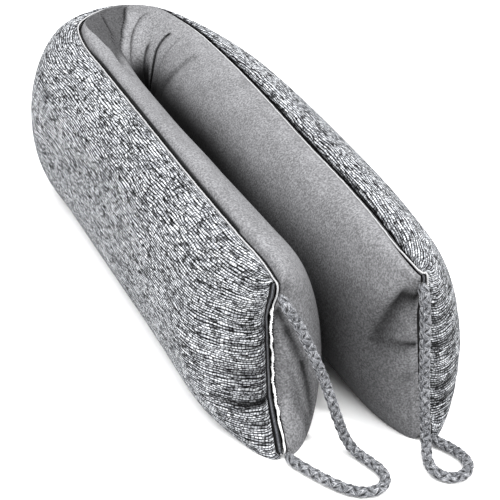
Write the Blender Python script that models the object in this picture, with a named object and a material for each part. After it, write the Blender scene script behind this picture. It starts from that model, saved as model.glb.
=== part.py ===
"""Draught excluder, folded in half: a long filled cushion of velvet and coarse linen-look cloth.

It stands on its long bottom seam with the velvet side turned inwards, and has a braided rope
handle sewn into each end. Units are metres, +Z is up, the arms run along Y, the fold is at +Y
and the open ends are at -Y. The origin is under the middle of the cushion's box.
"""

import bmesh
import bpy
import numpy as np
from math import cos, pi, radians, sin

# The middle of the cushion's box in the plan that the tables below are written in
BOX_MIDDLE = np.array([0.00126, 0.17509, 0.0])

# Driving sizes of the cushion
SEAM_HEIGHT = 0.1235
FOOT_SEAM_HEIGHT = 0.0030
CAP_LENGTH = 0.062
CLOTH_THICKNESS = 0.0020
PIECE_GAP = 0.0003

# Section of the filled tube, from the top seam round to the bottom seam
ROUNDNESS = 0.80
CROWN_RISE = 0.0040
CROWN_REACH = 0.013
VALLEY_DEPTH = 0.0016
VALLEY_REACH = 0.0030
BASE_PRESS = 0.0120
BASE_REACH = 0.016
BASE_TURN = 35.0

# How the ends draw in between their corners, and the valley that the end seam lies in, left
# then right
END_DRAW = {-1: 0.0095, 1: 0.0040}
END_DRAW_RISE = 0.036
END_LIP = {-1: 0.0060, 1: 0.0035}
END_LIP_REACH = 0.010

# Piping, end tape and the slot between the two cloths
SLOT_HALF = 0.0018
SLOT_DEPTH = 0.0028
PIPING_RADIUS = 0.0010
PIPING_SIDES = 6
TAPE_WIDTH = 0.0034
TAPE_CORNER_SHARE = 0.35
TAPE_GAP = 0.0005

# Rope handles
ROPE_DIAMETER = 0.0068
ROPE_SIDES = 8
ROPE_STEP = 0.0018
ROPE_PINCH = 0.45
ROPE_PINCH_LENGTH = 0.006
BRAID_PITCH = 0.0072
BRAID_RELIEF = 0.0005
ROUTE_SUBSTEPS = 12

# Each handle hangs from the top of its end seam, lies in a loop on the floor and goes back into
# the bottom corner of the seam
LEFT_ROPE_ROUTE = (
    (-0.0414, -0.0315, 0.1160),
    (-0.0402, -0.0343, 0.1130),
    (-0.0376, -0.0356, 0.1070),
    (-0.0323, -0.0368, 0.0965),
    (-0.0260, -0.0382, 0.0810),
    (-0.0192, -0.0398, 0.0630),
    (-0.0135, -0.0415, 0.0450),
    (-0.0086, -0.0435, 0.0275),
    (-0.0041, -0.0465, 0.0125),
    (0.0000, -0.0525, 0.0048),
    (0.0040, -0.0625, 0.0037),
    (0.0068, -0.0725, 0.0037),
    (0.0060, -0.0815, 0.0037),
    (-0.0008, -0.0875, 0.0037),
    (-0.0098, -0.0872, 0.0037),
    (-0.0180, -0.0812, 0.0037),
    (-0.0245, -0.0722, 0.0037),
    (-0.0300, -0.0622, 0.0037),
    (-0.0348, -0.0525, 0.0037),
    (-0.0375, -0.0460, 0.0037),
    (-0.0389, -0.0388, 0.0033),
)
RIGHT_ROPE_ROUTE = (
    (0.0350, -0.0575, 0.1180),
    (0.0356, -0.0594, 0.1140),
    (0.0368, -0.0600, 0.1050),
    (0.0378, -0.0603, 0.0900),
    (0.0388, -0.0603, 0.0720),
    (0.0398, -0.0603, 0.0540),
    (0.0410, -0.0607, 0.0360),
    (0.0420, -0.0617, 0.0200),
    (0.0412, -0.0660, 0.0085),
    (0.0385, -0.0730, 0.0040),
    (0.0362, -0.0810, 0.0037),
    (0.0370, -0.0890, 0.0037),
    (0.0428, -0.0952, 0.0037),
    (0.0512, -0.0955, 0.0037),
    (0.0575, -0.0895, 0.0037),
    (0.0583, -0.0805, 0.0037),
    (0.0555, -0.0715, 0.0037),
    (0.0515, -0.0640, 0.0038),
    (0.0479, -0.0582, 0.0040),
)

# Where the sections of the inner side meet in the fold, and the hollow left there. The arms meet
# on the meeting line, given as the y and x of its points from the open ends to the fold.
FOLD_FOCUS = np.array([-0.0045, 0.3060])
FOLD_HOLLOW = 0.0030
MEETING_LINE_Y = (-0.060, -0.030, 0.005, 0.060, 0.120, 0.200, 0.306)
MEETING_LINE_X = (0.0080, 0.0075, 0.0055, 0.0020, -0.0020, -0.0035, -0.0045)

# The top seam seen from above. seam_x and seam_y place it, outward and inward are how far the
# cushion bulges each side of it, lean is how far the bottom seam lies further out than the top,
# and sag is the share by which the lower half bulges more, and half of it the upper half less.
SEAM_COLUMNS = ("seam_x", "seam_y", "outward", "inward", "lean", "sag")
SEAM_ROWS = (
    # left arm, from its open end to the fold
    (-0.0424, -0.0310, 0.041, 0.050, -0.004, 0.20),
    (-0.0409, -0.0060, 0.041, 0.050, -0.004, 0.16),
    (-0.0425, 0.0270, 0.042, 0.048, -0.003, 0.08),
    (-0.0443, 0.1030, 0.042, 0.046, -0.002, 0.00),
    (-0.0451, 0.1940, 0.042, 0.046, 0.000, 0.00),
    (-0.0458, 0.2740, 0.044, 0.047, 0.000, 0.00),
    (-0.0455, 0.3300, 0.046, 0.048, 0.000, 0.00),
    # round the fold
    (-0.0355, 0.3700, 0.032, 0.060, 0.000, 0.00),
    (-0.0040, 0.3900, 0.018, 0.078, 0.000, 0.00),
    (0.0270, 0.3760, 0.015, 0.068, 0.000, 0.00),
    (0.0410, 0.3280, 0.026, 0.048, 0.002, 0.00),
    # right arm, from the fold to its open end
    (0.0450, 0.2720, 0.039, 0.047, 0.004, 0.00),
    (0.0455, 0.2000, 0.045, 0.045, 0.006, 0.00),
    (0.0435, 0.1200, 0.048, 0.041, 0.006, 0.00),
    (0.0430, 0.0600, 0.047, 0.038, 0.008, 0.05),
    (0.0405, 0.0050, 0.044, 0.035, 0.010, 0.12),
    (0.0340, -0.0555, 0.042, 0.030, 0.011, 0.18),
)
# How far each end's bottom corner sticks out past its top corner, left then right
FOOT_REACH = {-1: 0.0065, 1: 0.0000}
FULL_CROWN_BULGE = 0.044
CORNER_TURN = 30.0
MITRE_EXTRA = 2**0.5 - 1
CORNER_THINNING = 0.55
CORNER_THINNING_REACH = 55.0
ROW_SUBSTEPS = 24
DIRECTION_REACH = 0.006

# Pressed-in creases of the velvet in the fold: run is the place along the seam from the left end,
# top and foot are the section angles between which the crease lies, all widths are half widths.
# A crease dies away over some degrees at its top and its foot.
CREASE_TOP_FADE = 14
CREASE_FOOT_FADE = 25
CREASE_COLUMNS = ("run", "top", "foot", "depth", "width")
CREASES = (
    (0.414, 3, 80, 0.0040, 0.0042),
    (0.438, 4, 50, 0.0030, 0.0036),
    (0.453, 3, 95, 0.0060, 0.0042),
    (0.470, 5, 60, 0.0040, 0.0042),
    (0.485, 30, 95, 0.0035, 0.0040),
    (0.503, 16, 90, 0.0038, 0.0048),
    (0.550, 25, 80, 0.0020, 0.0060),
)

# Gathers of the linen where it runs into the end seams, by section angle
GATHER_COLUMNS = ("side", "angle", "depth", "width", "length")
GATHERS = (
    (-1, 118, 0.0030, 7, 0.045),
    (-1, 97, 0.0016, 8, 0.050),
    (1, 60, 0.0018, 8, 0.045),
    (1, 84, 0.0018, 8, 0.050),
    (1, 110, 0.0022, 8, 0.045),
)

SECTION_ANGLES = (0, 7, 17, 29, 42, 56, 70, 84, 97, 108, 118, 129, 141, 153, 167, 180)
PIPING_END_ANGLES = SECTION_ANGLES[2:-1]
CAP_ANGLES_INNER = (0, 6, 14, 25, 38, 53, 70)
CAP_ANGLES_OUTER = (0, 0, 14, 25, 38, 53, 70)
ARM_STEP = 0.027
FOLD_START = 0.330
FOLD_END = 0.575
FOLD_STEP = 0.0052


def smooth_rows(rows, substeps):
    """Catmull-Rom through the rows, all columns at once."""
    rows = np.array(rows, float)
    ends = np.vstack([2 * rows[0] - rows[1], rows, 2 * rows[-1] - rows[-2]])
    points = []
    for start in range(1, len(ends) - 2):
        before, here, there, after = ends[start - 1 : start + 3]
        for share in np.arange(substeps) / substeps:
            bend = 2 * before - 5 * here + 4 * there - after
            swing = 3 * (here - there) + after - before
            points.append(here + 0.5 * share * (there - before + share * (bend + share * swing)))
    points.append(rows[-1])
    return np.array(points)


def named_rows(columns, rows):
    return [dict(zip(columns, row)) for row in rows]


FINE_ROWS = smooth_rows(SEAM_ROWS, ROW_SUBSTEPS)
FINE_RUN = np.concatenate([[0.0], np.cumsum(np.linalg.norm(np.diff(FINE_ROWS[:, :2], axis=0), axis=1))])
SEAM_LENGTH = FINE_RUN[-1]


def along(run, name):
    return np.interp(run, FINE_RUN, FINE_ROWS[:, SEAM_COLUMNS.index(name)])


def seam_place(run):
    return np.array([along(run, "seam_x"), along(run, "seam_y")])


def seam_direction(run):
    ahead = seam_place(min(run + DIRECTION_REACH, SEAM_LENGTH)) - seam_place(max(run - DIRECTION_REACH, 0.0))
    return ahead / np.linalg.norm(ahead)


def outward_direction(run):
    ahead = seam_direction(run)
    return np.array([-ahead[1], ahead[0]])


def inward_direction(run):
    """Straight across on the arms, turning towards the focus of the fold beyond them."""
    place = seam_place(run)
    if place[1] > FOLD_FOCUS[1]:
        towards = FOLD_FOCUS - place
        return towards / np.linalg.norm(towards)
    return np.array([1.0 if place[0] < FOLD_FOCUS[0] else -1.0, 0.0])


def inward_reach(run):
    """The named bulge up to the meeting line on the arms, and the focus of the fold beyond them."""
    place = seam_place(run)
    if place[1] > FOLD_FOCUS[1]:
        return np.linalg.norm(FOLD_FOCUS - place) - FOLD_HOLLOW
    meeting_x = np.interp(place[1], MEETING_LINE_Y, MEETING_LINE_X)
    return min(along(run, "inward"), abs(place[0] - meeting_x) - 0.5 * FOLD_HOLLOW)


def bump(distance, reach):
    """Nothing at the seam, one at its reach, dying away beyond."""
    share = distance / reach
    return share * np.exp(1 - share)


def soft_step(value):
    value = min(max(value, 0.0), 1.0)
    return value * value * (3 - 2 * value)


class Station:
    """One section of the cushion: its run along the seam, and the angle of the end cap that it
    lies on, 0 at the end seam and 90 where the cushion is full."""

    def __init__(self, run, cap_angle=90.0, end=0, tape_edge=False):
        self.run = run
        self.cap_angle = cap_angle
        self.opening = sin(radians(cap_angle))
        self.closing = cos(radians(cap_angle))
        self.end = end
        self.tape_edge = tape_edge


def cap_stations(cap_angles, end):
    stations = []
    for index, angle in enumerate(cap_angles):
        run = CAP_LENGTH * (1 - cos(radians(angle)))
        run = run if end < 0 else SEAM_LENGTH - run
        repeated = index == 0 and cap_angles[1] == 0
        stations.append(Station(run, angle, end, tape_edge=repeated))
    return stations if end < 0 else stations[::-1]


def stretch(start, stop, step):
    count = max(2, round((stop - start) / step))
    return list(np.linspace(start, stop, count + 1)[:-1])


def full_stations():
    """Sections between the two end caps: few on the arms, close together round the fold."""
    runs = stretch(CAP_LENGTH, FOLD_START, ARM_STEP)
    runs += stretch(FOLD_START, FOLD_END, FOLD_STEP)
    runs += stretch(FOLD_END, SEAM_LENGTH - CAP_LENGTH, ARM_STEP)
    runs.append(SEAM_LENGTH - CAP_LENGTH)
    return [Station(run) for run in runs]


INNER_STATIONS = cap_stations(CAP_ANGLES_INNER, -1) + full_stations() + cap_stations(CAP_ANGLES_INNER, 1)
OUTER_STATIONS = cap_stations(CAP_ANGLES_OUTER, -1) + full_stations() + cap_stations(CAP_ANGLES_OUTER, 1)
RIM_STATIONS = cap_stations(CAP_ANGLES_INNER, -1) + full_stations() + cap_stations(CAP_ANGLES_INNER, 1)
RIM_STATIONS[0].tape_edge = True
RIM_STATIONS[-1].tape_edge = True


def crease_depth(run, angle):
    depth = 0.0
    for crease in named_rows(CREASE_COLUMNS, CREASES):
        away = (run - crease["run"]) / crease["width"]
        fade = soft_step((angle - crease["top"]) / CREASE_TOP_FADE)
        fade *= soft_step((crease["foot"] - angle) / CREASE_FOOT_FADE)
        depth += crease["depth"] * np.exp(-away * away) * fade
    return depth


def gather_depth(station, angle):
    depth = 0.0
    for gather in named_rows(GATHER_COLUMNS, GATHERS):
        run = station.run if gather["side"] < 0 else SEAM_LENGTH - station.run
        away = (angle - gather["angle"]) / gather["width"]
        fade = soft_step(1 - run / gather["length"]) * station.opening ** 0.5
        depth += gather["depth"] * np.exp(-away * away) * fade
    return depth


def slot_clearance(station, angle, side):
    """How far the cloth's edge stays from the middle of the seam; more at the tape."""
    if side < 0 or station.tape_edge or station.end == 0:
        return SLOT_HALF
    share = TAPE_CORNER_SHARE + (1 - TAPE_CORNER_SHARE) * soft_step(3 * sin(radians(angle)))
    return SLOT_HALF + (TAPE_WIDTH + PIECE_GAP) * share * (1 - station.opening)


def cloth_point(station, angle, side):
    """A point of the cushion's outer skin; angle is 0 at the top seam and 180 at the bottom one."""
    run = station.run
    turn = radians(angle)
    swell = max(sin(turn), 0.0)
    if side > 0:
        direction = outward_direction(run)
        across = slot_clearance(station, angle, side)
        across += (along(run, "outward") - across) * station.opening * swell ** ROUNDNESS
        across -= gather_depth(station, angle)
    else:
        direction = inward_direction(run)
        across = SLOT_HALF + (inward_reach(run) - SLOT_HALF) * station.opening * swell ** ROUNDNESS
        across -= crease_depth(run, angle)
    from_slot = max(across - SLOT_HALF, 0.0)
    sag = along(run, "sag")
    from_slot *= 1 + sag * (1.5 * soft_step(0.5 - 0.5 * cos(turn)) - 0.5)
    across = SLOT_HALF + from_slot if across > SLOT_HALF else across
    height = FOOT_SEAM_HEIGHT + 0.5 * (SEAM_HEIGHT - FOOT_SEAM_HEIGHT) * (1 + cos(turn))
    drawn_in = soft_step((SEAM_HEIGHT - height) / END_DRAW_RISE)
    drawn_in *= soft_step((height - FOOT_SEAM_HEIGHT) / END_DRAW_RISE)
    tightness = min(along(run, "outward") / FULL_CROWN_BULGE, 1.0) ** 2 if side > 0 else 1.0
    rise = CROWN_RISE * bump(from_slot, CROWN_REACH) + VALLEY_DEPTH * bump(from_slot, VALLEY_REACH)
    rise *= tightness
    press = BASE_PRESS * bump(from_slot, BASE_REACH) + 2 * FOOT_SEAM_HEIGHT * bump(from_slot, VALLEY_REACH)
    press *= station.opening**0.5
    height += soft_step(0.5 + cos(turn)) * rise - soft_step(0.5 - cos(turn)) * press
    height = max(height, 0.0)
    lean = along(run, "lean") * (1 - height / SEAM_HEIGHT)
    place = seam_place(run) + direction * across + outward_direction(run) * lean
    if station.end:
        into_arm = -station.end * seam_direction(run)
        lip = END_LIP[station.end] * (1 - bump(min(from_slot, END_LIP_REACH), END_LIP_REACH))
        drawn = (END_DRAW[station.end] + lip) * drawn_in
        foot = FOOT_REACH[station.end] * (1 - height / SEAM_HEIGHT) ** 3
        place = place + into_arm * station.closing * (drawn - foot)
    return np.array([place[0], place[1], height])


def corner_shares(station, angle, reach):
    """How near a section angle is to the top or bottom seam, and a station to its end seam."""
    by_seam = 1 - soft_step(min(angle, 180 - angle) / reach)
    by_end = 1 - soft_step(station.cap_angle / reach) if station.end else 0.0
    return by_seam, by_end


def cloth_normal(station, angle, side):
    """Out of the cloth: up along the top seam, sideways at the middle and down on the base. Where
    the top or bottom seam meets the end seam, both ways at once, so that a corner keeps its shape."""
    by_seam, by_end = corner_shares(station, angle, CORNER_TURN)
    if angle > 90:
        angle = 90 + 90 * soft_step((angle - 90) / BASE_TURN)
    turn = radians(angle)
    upright = cos(turn)
    corner = by_seam if upright > 0 else -by_seam
    direction = outward_direction(station.run) if side > 0 else inward_direction(station.run)
    flat = direction * station.opening * sin(turn)
    if station.end:
        push = station.closing * (1 - by_seam) + by_end * by_seam
        flat = flat + station.end * seam_direction(station.run) * push
    normal = np.array([flat[0], flat[1], upright * (1 - by_end) + corner * by_end])
    return normal / np.linalg.norm(normal) * (1 + MITRE_EXTRA * by_seam * by_end)


def under_cloth(station, angle, gap=0.0):
    """A point on the inside of the outer cloth, which is pressed thinner in the four corners."""
    by_seam, by_end = corner_shares(station, angle, CORNER_THINNING_REACH)
    depth = CLOTH_THICKNESS * (1 - CORNER_THINNING * by_seam * by_end) + gap
    return cloth_point(station, angle, 1) - depth * cloth_normal(station, angle, 1)


def rim_indices(rows, columns):
    """The border of a grid, once round, as (row, column)."""
    rim = [(row, 0) for row in range(rows)]
    rim += [(rows - 1, column) for column in range(1, columns)]
    rim += [(row, columns - 1) for row in range(rows - 2, -1, -1)]
    rim += [(0, column) for column in range(columns - 2, 0, -1)]
    return rim


def make_material(name, color, roughness):
    material = bpy.data.materials.new(name)
    material.use_nodes = True
    shader = material.node_tree.nodes["Principled BSDF"]
    shader.inputs["Base Color"].default_value = (*color, 1.0)
    shader.inputs["Roughness"].default_value = roughness
    shader.inputs["Metallic"].default_value = 0.0
    return material


def make_object(name, points, faces, material):
    mesh = bpy.data.meshes.new(name)
    mesh.from_pydata([tuple(np.array(point) - BOX_MIDDLE) for point in points], [], faces)
    shell = bmesh.new()
    shell.from_mesh(mesh)
    bmesh.ops.recalc_face_normals(shell, faces=shell.faces)
    if shell.calc_volume(signed=True) < 0:
        bmesh.ops.reverse_faces(shell, faces=shell.faces)
    shell.to_mesh(mesh)
    shell.free()
    mesh.materials.append(material)
    mesh.shade_smooth()
    mesh.set_sharp_from_angle(angle=radians(40))
    made = bpy.data.objects.new(name, mesh)
    bpy.context.collection.objects.link(made)
    return made


def grid_faces(rows, columns, first):
    faces = []
    for row in range(rows - 1):
        for column in range(columns - 1):
            corner = first + row * columns + column
            faces.append((corner, corner + 1, corner + columns + 1, corner + columns))
    return faces


def band_faces(rim, other):
    """Quads between two closed rings of point indices of the same length."""
    faces = []
    for index in range(len(rim)):
        following = (index + 1) % len(rim)
        faces.append((rim[index], rim[following], other[following], other[index]))
    return faces


def seam_point(station, angle):
    """The middle between the edges of the two cloths, and the way out of the seam there."""
    middle = 0.5 * (cloth_point(station, angle, -1) + cloth_point(station, angle, 1))
    return middle, cloth_normal(station, angle, 1)


def make_filled_body(material):
    """The velvet side, the face under the linen and the slot for the piping, as one filled solid."""
    rows, columns = len(INNER_STATIONS), len(SECTION_ANGLES)
    velvet = [[cloth_point(s, a, -1) for a in SECTION_ANGLES] for s in INNER_STATIONS]
    covered = [[under_cloth(s, a, PIECE_GAP) for a in SECTION_ANGLES] for s in OUTER_STATIONS]
    rim = rim_indices(rows, columns)
    slot = []
    for row, column in rim:
        middle, out = seam_point(RIM_STATIONS[row], SECTION_ANGLES[column])
        slot.append(middle - out * SLOT_DEPTH)
    points = [point for line in velvet for point in line] + [point for line in covered for point in line]
    first_slot = len(points)
    points += slot
    velvet_rim = [row * columns + column for row, column in rim]
    covered_rim = [rows * columns + row * columns + column for row, column in rim]
    slot_rim = list(range(first_slot, first_slot + len(rim)))
    faces = grid_faces(rows, columns, 0)
    faces += grid_faces(rows, columns, rows * columns)
    faces += band_faces(velvet_rim, slot_rim)
    faces += band_faces(slot_rim, covered_rim)
    return make_object("filled_body", points, faces, material)


def make_sheet(name, outer, inner, material):
    """A cloth of even thickness between two grids of points."""
    rows, columns = len(outer), len(outer[0])
    points = [point for line in outer for point in line] + [point for line in inner for point in line]
    rim = [row * columns + column for row, column in rim_indices(rows, columns)]
    other = [rows * columns + index for index in rim]
    faces = grid_faces(rows, columns, 0)
    faces += grid_faces(rows, columns, rows * columns)
    faces += band_faces(rim, other)
    return make_object(name, points, faces, material)


def make_linen_panel(material):
    stations = OUTER_STATIONS[1:-1]
    outer = [[cloth_point(s, a, 1) for a in SECTION_ANGLES] for s in stations]
    inner = [[under_cloth(s, a) for a in SECTION_ANGLES] for s in stations]
    return make_sheet("linen_panel", outer, inner, material)


def make_end_tape(name, end, material):
    """The narrow strip between the linen and the piping, down one end seam."""
    seam_side, linen_side = (OUTER_STATIONS[:2] if end < 0 else OUTER_STATIONS[-2:][::-1])
    outside = [[cloth_point(s, a, 1) for a in SECTION_ANGLES] for s in (seam_side, linen_side)]
    inside = [[under_cloth(s, a) for a in SECTION_ANGLES] for s in (seam_side, linen_side)]
    grids = []
    for near, far in (outside, inside):
        edge = []
        for start, stop in zip(near, far):
            width = np.linalg.norm(stop - start)
            edge.append(start + (stop - start) * (1 - TAPE_GAP / width))
        grids.append([near, edge] if end < 0 else [edge, near])
    return make_sheet(name, grids[0], grids[1], material)


def piping_route():
    """Along the top seam, down the right end, back under the cushion and up the left end."""
    along_seam = [RIM_STATIONS[0]] + RIM_STATIONS[2:-2] + [RIM_STATIONS[-1]]
    route = [seam_point(station, 0) for station in along_seam]
    route += [seam_point(RIM_STATIONS[-1], angle) for angle in PIPING_END_ANGLES]
    route += [seam_point(station, 180) for station in along_seam[::-1]]
    route += [seam_point(RIM_STATIONS[0], angle) for angle in PIPING_END_ANGLES[::-1]]
    return route


def ring(center, ahead, out, radii):
    """Points round a tube's centre, one for each radius."""
    ahead = ahead / np.linalg.norm(ahead)
    side = np.cross(ahead, out)
    side /= np.linalg.norm(side)
    up = np.cross(side, ahead)
    turns = 2 * pi * np.arange(len(radii)) / len(radii)
    return [center + radius * (cos(turn) * up + sin(turn) * side) for turn, radius in zip(turns, radii)]


def tube_faces(rings, sides, closed):
    faces = []
    for index in range(rings if closed else rings - 1):
        first = index * sides
        second = (index + 1) % rings * sides
        for corner in range(sides):
            following = (corner + 1) % sides
            faces.append((first + corner, first + following, second + following, second + corner))
    if not closed:
        faces.append(tuple(range(sides)))
        faces.append(tuple(range((rings - 1) * sides, rings * sides)))
    return faces


def make_piping(material):
    route = piping_route()
    points = []
    for index, (center, out) in enumerate(route):
        ahead = route[(index + 1) % len(route)][0] - route[index - 1][0]
        points += ring(center, ahead, out, [PIPING_RADIUS] * PIPING_SIDES)
    return make_object("seam_piping", points, tube_faces(len(route), PIPING_SIDES, True), material)


def even_steps(points, step):
    """The same curve with points a step apart, and the run of each."""
    runs = np.concatenate([[0.0], np.cumsum(np.linalg.norm(np.diff(points, axis=0), axis=1))])
    count = round(runs[-1] / step)
    places = np.linspace(0.0, runs[-1], count + 1)
    return np.stack([np.interp(places, runs, points[:, axis]) for axis in range(3)], axis=1), places


def make_rope(name, route, material):
    """A round braid: its strands show as lumps in a diamond lattice, and it is pinched at both ends."""
    centers, places = even_steps(smooth_rows(route, ROUTE_SUBSTEPS), ROPE_STEP)
    points = []
    out = np.array([0.0, 0.0, 1.0])
    for index, center in enumerate(centers):
        ahead = centers[min(index + 1, len(centers) - 1)] - centers[max(index - 1, 0)]
        ahead /= np.linalg.norm(ahead)
        out = out - ahead * np.dot(out, ahead)
        out /= np.linalg.norm(out)
        from_end = min(places[index], places[-1] - places[index])
        pinch = ROPE_PINCH + (1 - ROPE_PINCH) * soft_step(from_end / ROPE_PINCH_LENGTH)
        wave = cos(2 * pi * places[index] / BRAID_PITCH)
        lumps = [wave * cos(pi * side) for side in range(ROPE_SIDES)]
        radii = [pinch * (0.5 * ROPE_DIAMETER - BRAID_RELIEF * (1 - lump)) for lump in lumps]
        points += ring(center, ahead, out, radii)
    return make_object(name, points, tube_faces(len(centers), ROPE_SIDES, False), material)


def clear_scene():
    for old in list(bpy.data.objects):
        bpy.data.objects.remove(old, do_unlink=True)


clear_scene()
VELVET = make_material("velvet", (0.20, 0.20, 0.205), 0.85)
LINEN = make_material("linen", (0.32, 0.33, 0.345), 0.95)
TAPE = make_material("tape", (0.09, 0.09, 0.10), 0.80)
PIPING = make_material("piping", (0.62, 0.62, 0.62), 0.75)
ROPE = make_material("rope", (0.25, 0.25, 0.26), 0.85)
make_filled_body(VELVET)
make_linen_panel(LINEN)
make_end_tape("end_tape_left", -1, TAPE)
make_end_tape("end_tape_right", 1, TAPE)
make_piping(PIPING)
make_rope("rope_handle_left", LEFT_ROPE_ROUTE, ROPE)
make_rope("rope_handle_right", RIGHT_ROPE_ROUTE, ROPE)
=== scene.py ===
"""Looks of the folded draught excluder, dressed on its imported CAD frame. Metres and degrees."""

from math import cos, pi, radians, sin

import bpy
import numpy as np
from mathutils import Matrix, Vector


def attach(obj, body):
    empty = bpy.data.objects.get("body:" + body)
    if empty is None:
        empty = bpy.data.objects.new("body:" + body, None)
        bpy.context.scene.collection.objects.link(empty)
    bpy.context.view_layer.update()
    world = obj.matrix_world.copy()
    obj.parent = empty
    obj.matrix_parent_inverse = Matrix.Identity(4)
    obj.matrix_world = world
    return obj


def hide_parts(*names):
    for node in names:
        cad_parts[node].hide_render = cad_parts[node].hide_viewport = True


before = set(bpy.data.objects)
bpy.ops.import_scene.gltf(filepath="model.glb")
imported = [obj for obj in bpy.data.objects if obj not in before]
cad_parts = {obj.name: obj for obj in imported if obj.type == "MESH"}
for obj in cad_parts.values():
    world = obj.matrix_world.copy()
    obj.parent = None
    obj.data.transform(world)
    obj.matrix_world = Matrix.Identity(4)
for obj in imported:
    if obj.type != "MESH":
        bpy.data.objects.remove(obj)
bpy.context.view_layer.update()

# Camera
# It stands to the left of the open ends and looks down along the arms towards the fold, as the
# photographer did.
CAMERA_PLACE = (-0.31132, -0.80645, 0.55625)
CAMERA_TURN = -22.642
CAMERA_TILT = 32.0

camera_data = bpy.data.cameras.new("camera")
camera_data.lens = 100.8
camera_data.sensor_width = 36.0
camera = bpy.data.objects.new("camera", camera_data)
bpy.context.scene.collection.objects.link(camera)
camera.location = CAMERA_PLACE
ahead_flat = cos(radians(CAMERA_TILT))
camera_ahead = Vector((
    -sin(radians(CAMERA_TURN)) * ahead_flat,
    cos(radians(CAMERA_TURN)) * ahead_flat,
    -sin(radians(CAMERA_TILT)),
))
camera.rotation_euler = camera_ahead.to_track_quat("-Z", "Y").to_euler()
bpy.context.scene.camera = camera

# Rope handles
# A round braid of eight grey melange strands, four each way, 7 mm thick. Each is sewn into the
# top and bottom corner of an end seam, hangs down the end and lies on the floor in a loop.
ROPE_PINCH = 0.62
ROPE_PINCH_LENGTH = 0.005
STRANDS_EACH_WAY = 4
STRAND_TURN = 0.0310
STRAND_SIDES = 10
STRAND_STEP = 0.0010
STRAND_HALF_WIDTH = 0.00160
STRAND_HALF_HEIGHT = 0.00100
STRAND_CENTER = 0.00205
STRAND_WEAVE = 0.00050
CORE_RADIUS = 0.0015
YARN_SHIFT_BY_STRAND = 0.37
YARN_SHIFT_BY_WAY = 1.9
LEAST_HEIGHT = 0.0001
ROUTE_SUBSTEPS = 12
# The ropes and the seam are drawn in one plan, and the middle of the cushion's box lies here in it
BOX_MIDDLE = np.array([0.00126, 0.17509, 0.0])

# Each rope from the top corner down to the floor, round its loop and back to the bottom corner
LEFT_ROPE_ROUTE = (
    (-0.0414, -0.0320, 0.1155),
    (-0.0404, -0.0364, 0.1118),
    (-0.0376, -0.0372, 0.1065),
    (-0.0323, -0.0368, 0.0965),
    (-0.0260, -0.0382, 0.0810),
    (-0.0192, -0.0398, 0.0630),
    (-0.0135, -0.0415, 0.0450),
    (-0.0086, -0.0435, 0.0275),
    (-0.0041, -0.0465, 0.0125),
    (0.0000, -0.0525, 0.0048),
    (0.0040, -0.0625, 0.0037),
    (0.0068, -0.0725, 0.0037),
    (0.0060, -0.0815, 0.0037),
    (-0.0008, -0.0875, 0.0037),
    (-0.0098, -0.0872, 0.0037),
    (-0.0180, -0.0812, 0.0037),
    (-0.0245, -0.0722, 0.0037),
    (-0.0300, -0.0622, 0.0037),
    (-0.0348, -0.0525, 0.0037),
    (-0.0375, -0.0460, 0.0037),
    (-0.0389, -0.0388, 0.0033),
)
RIGHT_ROPE_ROUTE = (
    (0.0346, -0.0577, 0.1203),
    (0.0353, -0.0597, 0.1152),
    (0.0368, -0.0600, 0.1050),
    (0.0378, -0.0603, 0.0900),
    (0.0388, -0.0603, 0.0720),
    (0.0398, -0.0603, 0.0540),
    (0.0410, -0.0607, 0.0360),
    (0.0420, -0.0617, 0.0200),
    (0.0412, -0.0660, 0.0085),
    (0.0385, -0.0730, 0.0040),
    (0.0362, -0.0810, 0.0037),
    (0.0370, -0.0890, 0.0037),
    (0.0428, -0.0952, 0.0037),
    (0.0512, -0.0955, 0.0037),
    (0.0575, -0.0895, 0.0037),
    (0.0583, -0.0805, 0.0037),
    (0.0555, -0.0715, 0.0037),
    (0.0515, -0.0640, 0.0038),
    (0.0479, -0.0582, 0.0040),
)


def unit(vectors):
    return vectors / np.linalg.norm(vectors, axis=-1, keepdims=True)


def soft_step(value):
    value = np.clip(value, 0.0, 1.0)
    return value * value * (3 - 2 * value)


def change(value, start, stop):
    """Nothing up to the start and one past the stop, smooth between. The stop may be the lower."""
    return soft_step((value - start) / (stop - start))


def smooth_rows(rows, substeps):
    """A smooth curve through the rows, all their columns at once."""
    rows = np.array(rows, float)
    ends = np.vstack([2 * rows[0] - rows[1], rows, 2 * rows[-1] - rows[-2]])
    points = []
    for start in range(1, len(ends) - 2):
        before, here, there, after = ends[start - 1 : start + 3]
        for share in np.arange(substeps) / substeps:
            bend = 2 * before - 5 * here + 4 * there - after
            swing = 3 * (here - there) + after - before
            points.append(here + 0.5 * share * (there - before + share * (bend + share * swing)))
    points.append(rows[-1])
    return np.array(points)


def even_steps(points, step):
    """The same curve with points a step apart, and the run of each."""
    runs = np.concatenate([[0.0], np.cumsum(np.linalg.norm(np.diff(points, axis=0), axis=1))])
    places = np.linspace(0.0, runs[-1], round(runs[-1] / step) + 1)
    return np.stack([np.interp(places, runs, points[:, axis]) for axis in range(3)], axis=1), places


def sew_piece(name, points, faces, material, layers):
    """A smooth mesh piece in the cushion's own place. layers are UV maps or values by point."""
    mesh = bpy.data.meshes.new(name)
    places = (np.asarray(points) - BOX_MIDDLE).tolist()
    mesh.from_pydata(places, [], [list(map(int, face)) for face in faces])
    mesh.update()
    corners = np.empty(len(mesh.loops), int)
    mesh.loops.foreach_get("vertex_index", corners)
    for layer, values in layers.items():
        values = np.asarray(values, np.float32)
        if values.ndim == 2:
            mesh.uv_layers.new(name=layer).data.foreach_set("uv", values[corners].ravel())
        else:
            mesh.attributes.new(layer, "FLOAT", "POINT").data.foreach_set("value", values)
    mesh.materials.append(material)
    mesh.shade_smooth()
    piece = bpy.data.objects.new(name, mesh)
    bpy.context.scene.collection.objects.link(piece)
    return piece


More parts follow.
